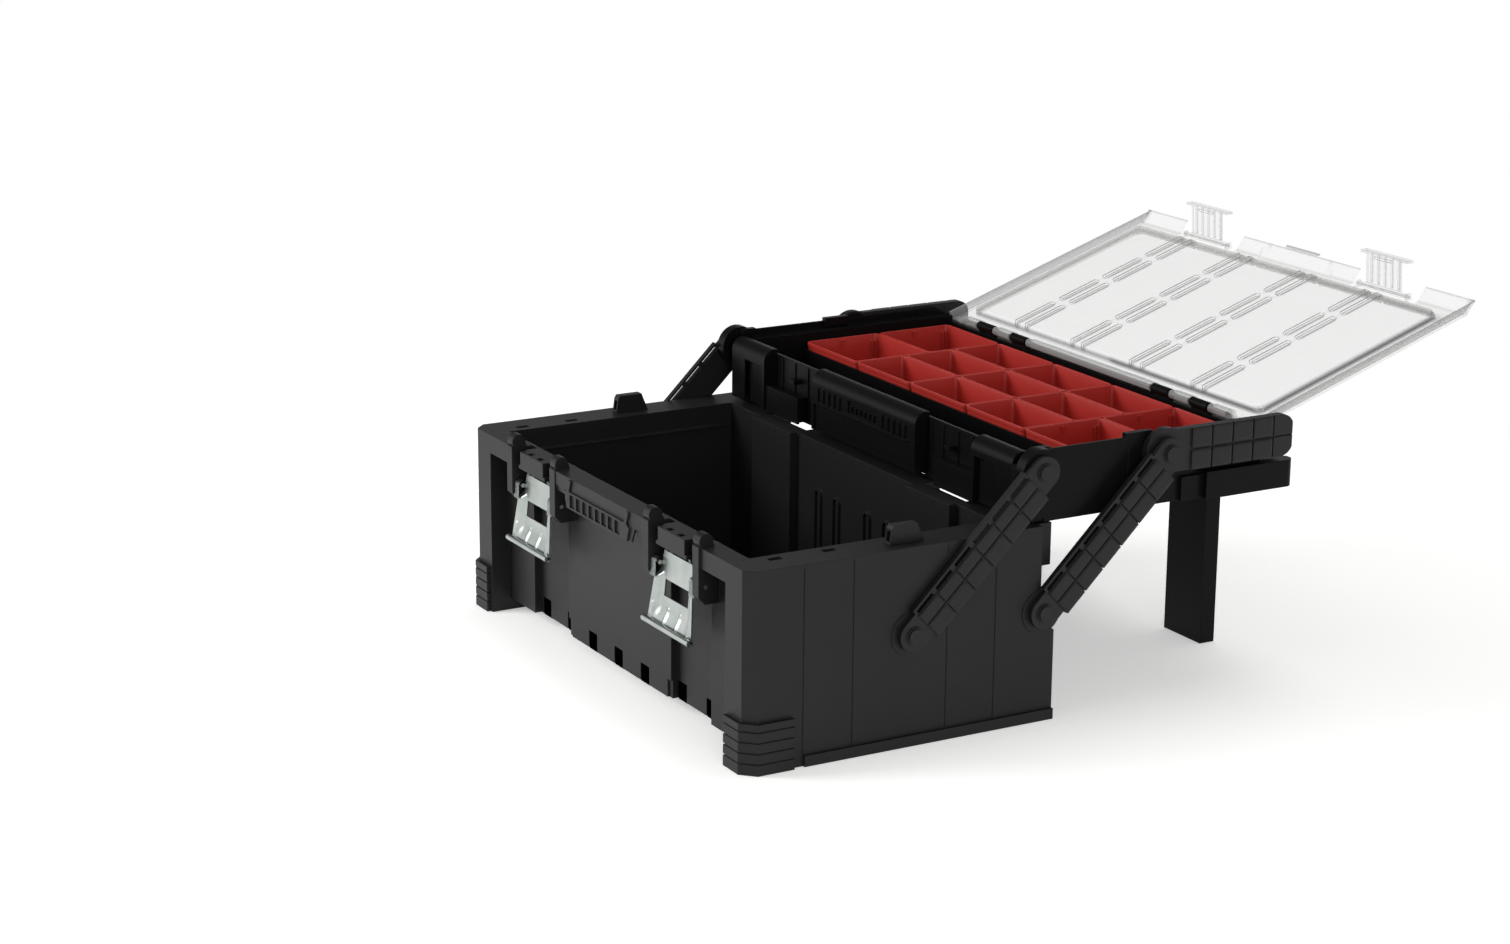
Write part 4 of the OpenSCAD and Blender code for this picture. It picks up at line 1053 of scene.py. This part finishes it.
def row_tree(name, shape_inputs):
    """A geometry tree with a count, a pitch, the shape's own inputs and a finish."""
    tree = bpy.data.node_groups.new(name, "GeometryNodeTree")
    inputs = (("Count", "NodeSocketInt"), ("Pitch", "NodeSocketFloat"), *shape_inputs)
    for label, kind in (*inputs, ("Finish", "NodeSocketMaterial")):
        tree.interface.new_socket(label, in_out="INPUT", socket_type=kind)
    tree.interface.new_socket("Geometry", in_out="OUTPUT", socket_type="NodeSocketGeometry")
    return tree, add(tree, "NodeGroupInput").outputs


def set_out_in_a_row(tree, given, shape):
    """Copies of a shape along X, made real and given the finish."""
    step = add(tree, "ShaderNodeCombineXYZ", {"X": given["Pitch"]}).outputs[0]
    line = add(tree, "GeometryNodeMeshLine", {"Count": given["Count"], "Offset": step})
    places = {"Points": line.outputs["Mesh"], "Instance": shape.outputs["Mesh"]}
    row = add(tree, "GeometryNodeInstanceOnPoints", places)
    real = add(tree, "GeometryNodeRealizeInstances", {0: row.outputs[0]})
    finished = {0: real.outputs[0], "Material": given["Finish"]}
    done = add(tree, "GeometryNodeSetMaterial", finished)
    add(tree, "NodeGroupOutput", {0: done.outputs[0]})
    return tree


def puffed_rows_tree():
    """A row of low cushions: each a block of small faces, rounded by one subdivision."""
    tree, given = row_tree("puffed_rows", (("Size", "NodeSocketVector"),))
    counts = {"Vertices X": 6, "Vertices Y": 5, "Vertices Z": 3}
    block = add(tree, "GeometryNodeMeshCube", {"Size": given["Size"]}, counts)
    mesh = {"Mesh": block.outputs["Mesh"]}
    soft = add(tree, "GeometryNodeSubdivisionSurface", mesh, {"Level": 1})
    return set_out_in_a_row(tree, given, soft)


def round_ribs_tree():
    """A row of short bars with a round section, all across the row."""
    shape_inputs = (("Length", "NodeSocketFloat"), ("Radius", "NodeSocketFloat"))
    tree, given = row_tree("round_ribs", shape_inputs)
    end = add(tree, "ShaderNodeCombineXYZ", {"Y": given["Length"]}).outputs[0]
    bar = add(tree, "GeometryNodeCurvePrimitiveLine", {"End": end})
    radius = {"Radius": given["Radius"]}
    circle = add(tree, "GeometryNodeCurvePrimitiveCircle", radius, {"Resolution": 10})
    shape = {"Curve": bar.outputs[0], "Profile Curve": circle.outputs[0]}
    rib = add(tree, "GeometryNodeCurveToMesh", shape, {"Fill Caps": True})
    return set_out_in_a_row(tree, given, rib)


def grown(tree, values):
    """Runs a geometry tree with its inputs set by name, and gives back a bmesh in millimetres."""
    holder = bpy.data.objects.new("holder", bpy.data.meshes.new("holder"))
    bpy.context.scene.collection.objects.link(holder)
    modifier = holder.modifiers.new("grow", "NODES")
    modifier.node_group = tree
    for item in tree.interface.items_tree:
        if item.item_type == "SOCKET" and item.in_out == "INPUT":
            modifier[item.identifier] = values[item.name]
    seen = holder.evaluated_get(bpy.context.evaluated_depsgraph_get())
    mesh = bpy.data.meshes.new_from_object(seen)
    bm = bmesh.new()
    bm.from_mesh(mesh)
    bmesh.ops.remove_doubles(bm, verts=bm.verts, dist=1e-6)
    bmesh.ops.scale(bm, vec=(1 / MM,) * 3, verts=bm.verts)
    bpy.data.objects.remove(holder)
    bpy.data.meshes.remove(mesh)
    return bm


ARM_LEN = 184.07
ARM_SLOPE = 44.44
# the tiles begin this far from an arm's pivots
NECK = 14.0
TILE_COUNT = 6
TILE_GAP = 1.6
TILE_THICK = 1.5
# lowest and highest line of each row of tiles, measured from the arm's middle line
ARM_ROWS = ((-17.6, -2.9), (-0.4, 10.6))
HANDLE_ROWS = ((-19.1, -1.5), (1.5, 19.1))
# the handle's arm is divided into so many spaces, and so many of them have a tile
HANDLE_NECK = 26.0
HANDLE_SPACES, HANDLE_TILES = 5, 4
# ribs, this far before and below the lid's hinge
STRIP_HALF = 102.0
STRIP_PITCH = 3.0
STRIP_RIB, STRIP_R = 5.4, 0.95
STRIP_IN, STRIP_DOWN = 1.6, 6.6


def tiles(tree, finish, count, pitch, start, row, face):
    """A row of cushions in a plane x = face, from start along y, between two heights."""
    low, high = row
    size = Vector((pitch - TILE_GAP, high - low, TILE_THICK)) * MM
    bm = grown(tree, {"Count": count, "Pitch": pitch * MM, "Size": size, "Finish": finish})
    along, up = (1, 0, 0, start + pitch / 2), (0, 1, 0, (low + high) / 2)
    turn = Matrix(((0, 0, 1, face), along, up, (0, 0, 0, 1)))
    bmesh.ops.transform(bm, matrix=turn, verts=bm.verts)
    return bm


def arm_tiles(tree, finish):
    """The cushioned tiles down the outside of each cantilever arm, two to a row."""
    pitch = (ARM_LEN - 2 * NECK) / TILE_COUNT
    outer = node_box("arm_front_right")[1].x
    slope = Matrix.Rotation(math.radians(ARM_SLOPE), 4, "X")
    for end, joint in (("front", "cantilever"), ("rear", "arm_rear_right_swing")):
        pivot = Vector(JOINT[joint]["pos_m"]) / MM
        place = Matrix.Translation((0, pivot.y, pivot.z)) @ slope
        for side, flip in (("right", 1), ("left", -1)):
            parts = [tiles(tree, finish, TILE_COUNT, pitch, NECK, row, outer) for row in ARM_ROWS]
            move = Matrix.Diagonal((flip, 1, 1, 1)) @ place
            name = f"arm_{end}_{side}"
            as_piece(name + "_tiles", parts, finish, name, (), move)


def handle_tiles(tree, finish):
    """The same tiles on the handle's two arms, short of their rounded ends."""
    high = node_box("handle_arm_right")[1]
    pivot = Vector(JOINT["handle_swing"]["pos_m"]) / MM
    pitch = (high.y - pivot.y - HANDLE_NECK) / HANDLE_SPACES
    place = Matrix.Translation((0, pivot.y, pivot.z))
    for side, flip in (("right", 1), ("left", -1)):
        parts = [
            tiles(tree, finish, HANDLE_TILES, pitch, HANDLE_NECK, row, high.x)
            for row in HANDLE_ROWS
        ]
        move = Matrix.Diagonal((flip, 1, 1, 1)) @ place
        name = f"handle_arm_{side}_tiles"
        as_piece(name, parts, finish, "handle", (), move)


def hinge_strip(tree, finish):
    """Fine ribs along the tray's rear wall under the lid's long middle knuckle."""
    hinge = Vector(JOINT["lid_hinge"]["pos_m"]) / MM
    values = {
        "Count": int(2 * STRIP_HALF / STRIP_PITCH) + 1,
        "Pitch": STRIP_PITCH * MM,
        "Length": STRIP_RIB * MM,
        "Radius": STRIP_R * MM,
        "Finish": finish,
    }
    bm = grown(tree, values)
    place = (-STRIP_HALF, hinge.y - STRIP_IN, hinge.z - STRIP_DOWN)
    bmesh.ops.translate(bm, vec=place, verts=bm.verts)
    as_piece("hinge_strip", [bm], finish, "tray")


# ---- the scene ----

make_camera()
studio()
FINISH = {
    "body_plastic": black_polypropylene(),
    "tray_plastic": smooth_black_polypropylene(),
    "unlit_plastic": painted_hole_shade(),
    "arm_plastic": arm_polypropylene(),
    "bin_plastic": red_polypropylene(),
    "clear_plastic": clear_polycarbonate("ribbed_clear_polycarbonate", True),
    "clear_sheet": clear_polycarbonate("clear_polycarbonate_sheet", False),
    "dull_steel": dull_nickel_steel(),
    "zinc_steel": zinc_plated_steel(),
}
finish_nodes(FINISH)
for node_name in NODES:
    if node_name.startswith("bin_"):
        bin_piece(node_name, FINISH["bin_plastic"])
notch_shade_plates(FINISH["unlit_plastic"])
latch_pin_ends(FINISH["zinc_steel"])
for hand in ("left", "right"):
    steel_latch(hand, FINISH["zinc_steel"])
clear_lid(FINISH["clear_sheet"])
puffed = puffed_rows_tree()
arm_tiles(puffed, FINISH["arm_plastic"])
handle_tiles(puffed, FINISH["arm_plastic"])
hinge_strip(round_ribs_tree(), FINISH["tray_plastic"])
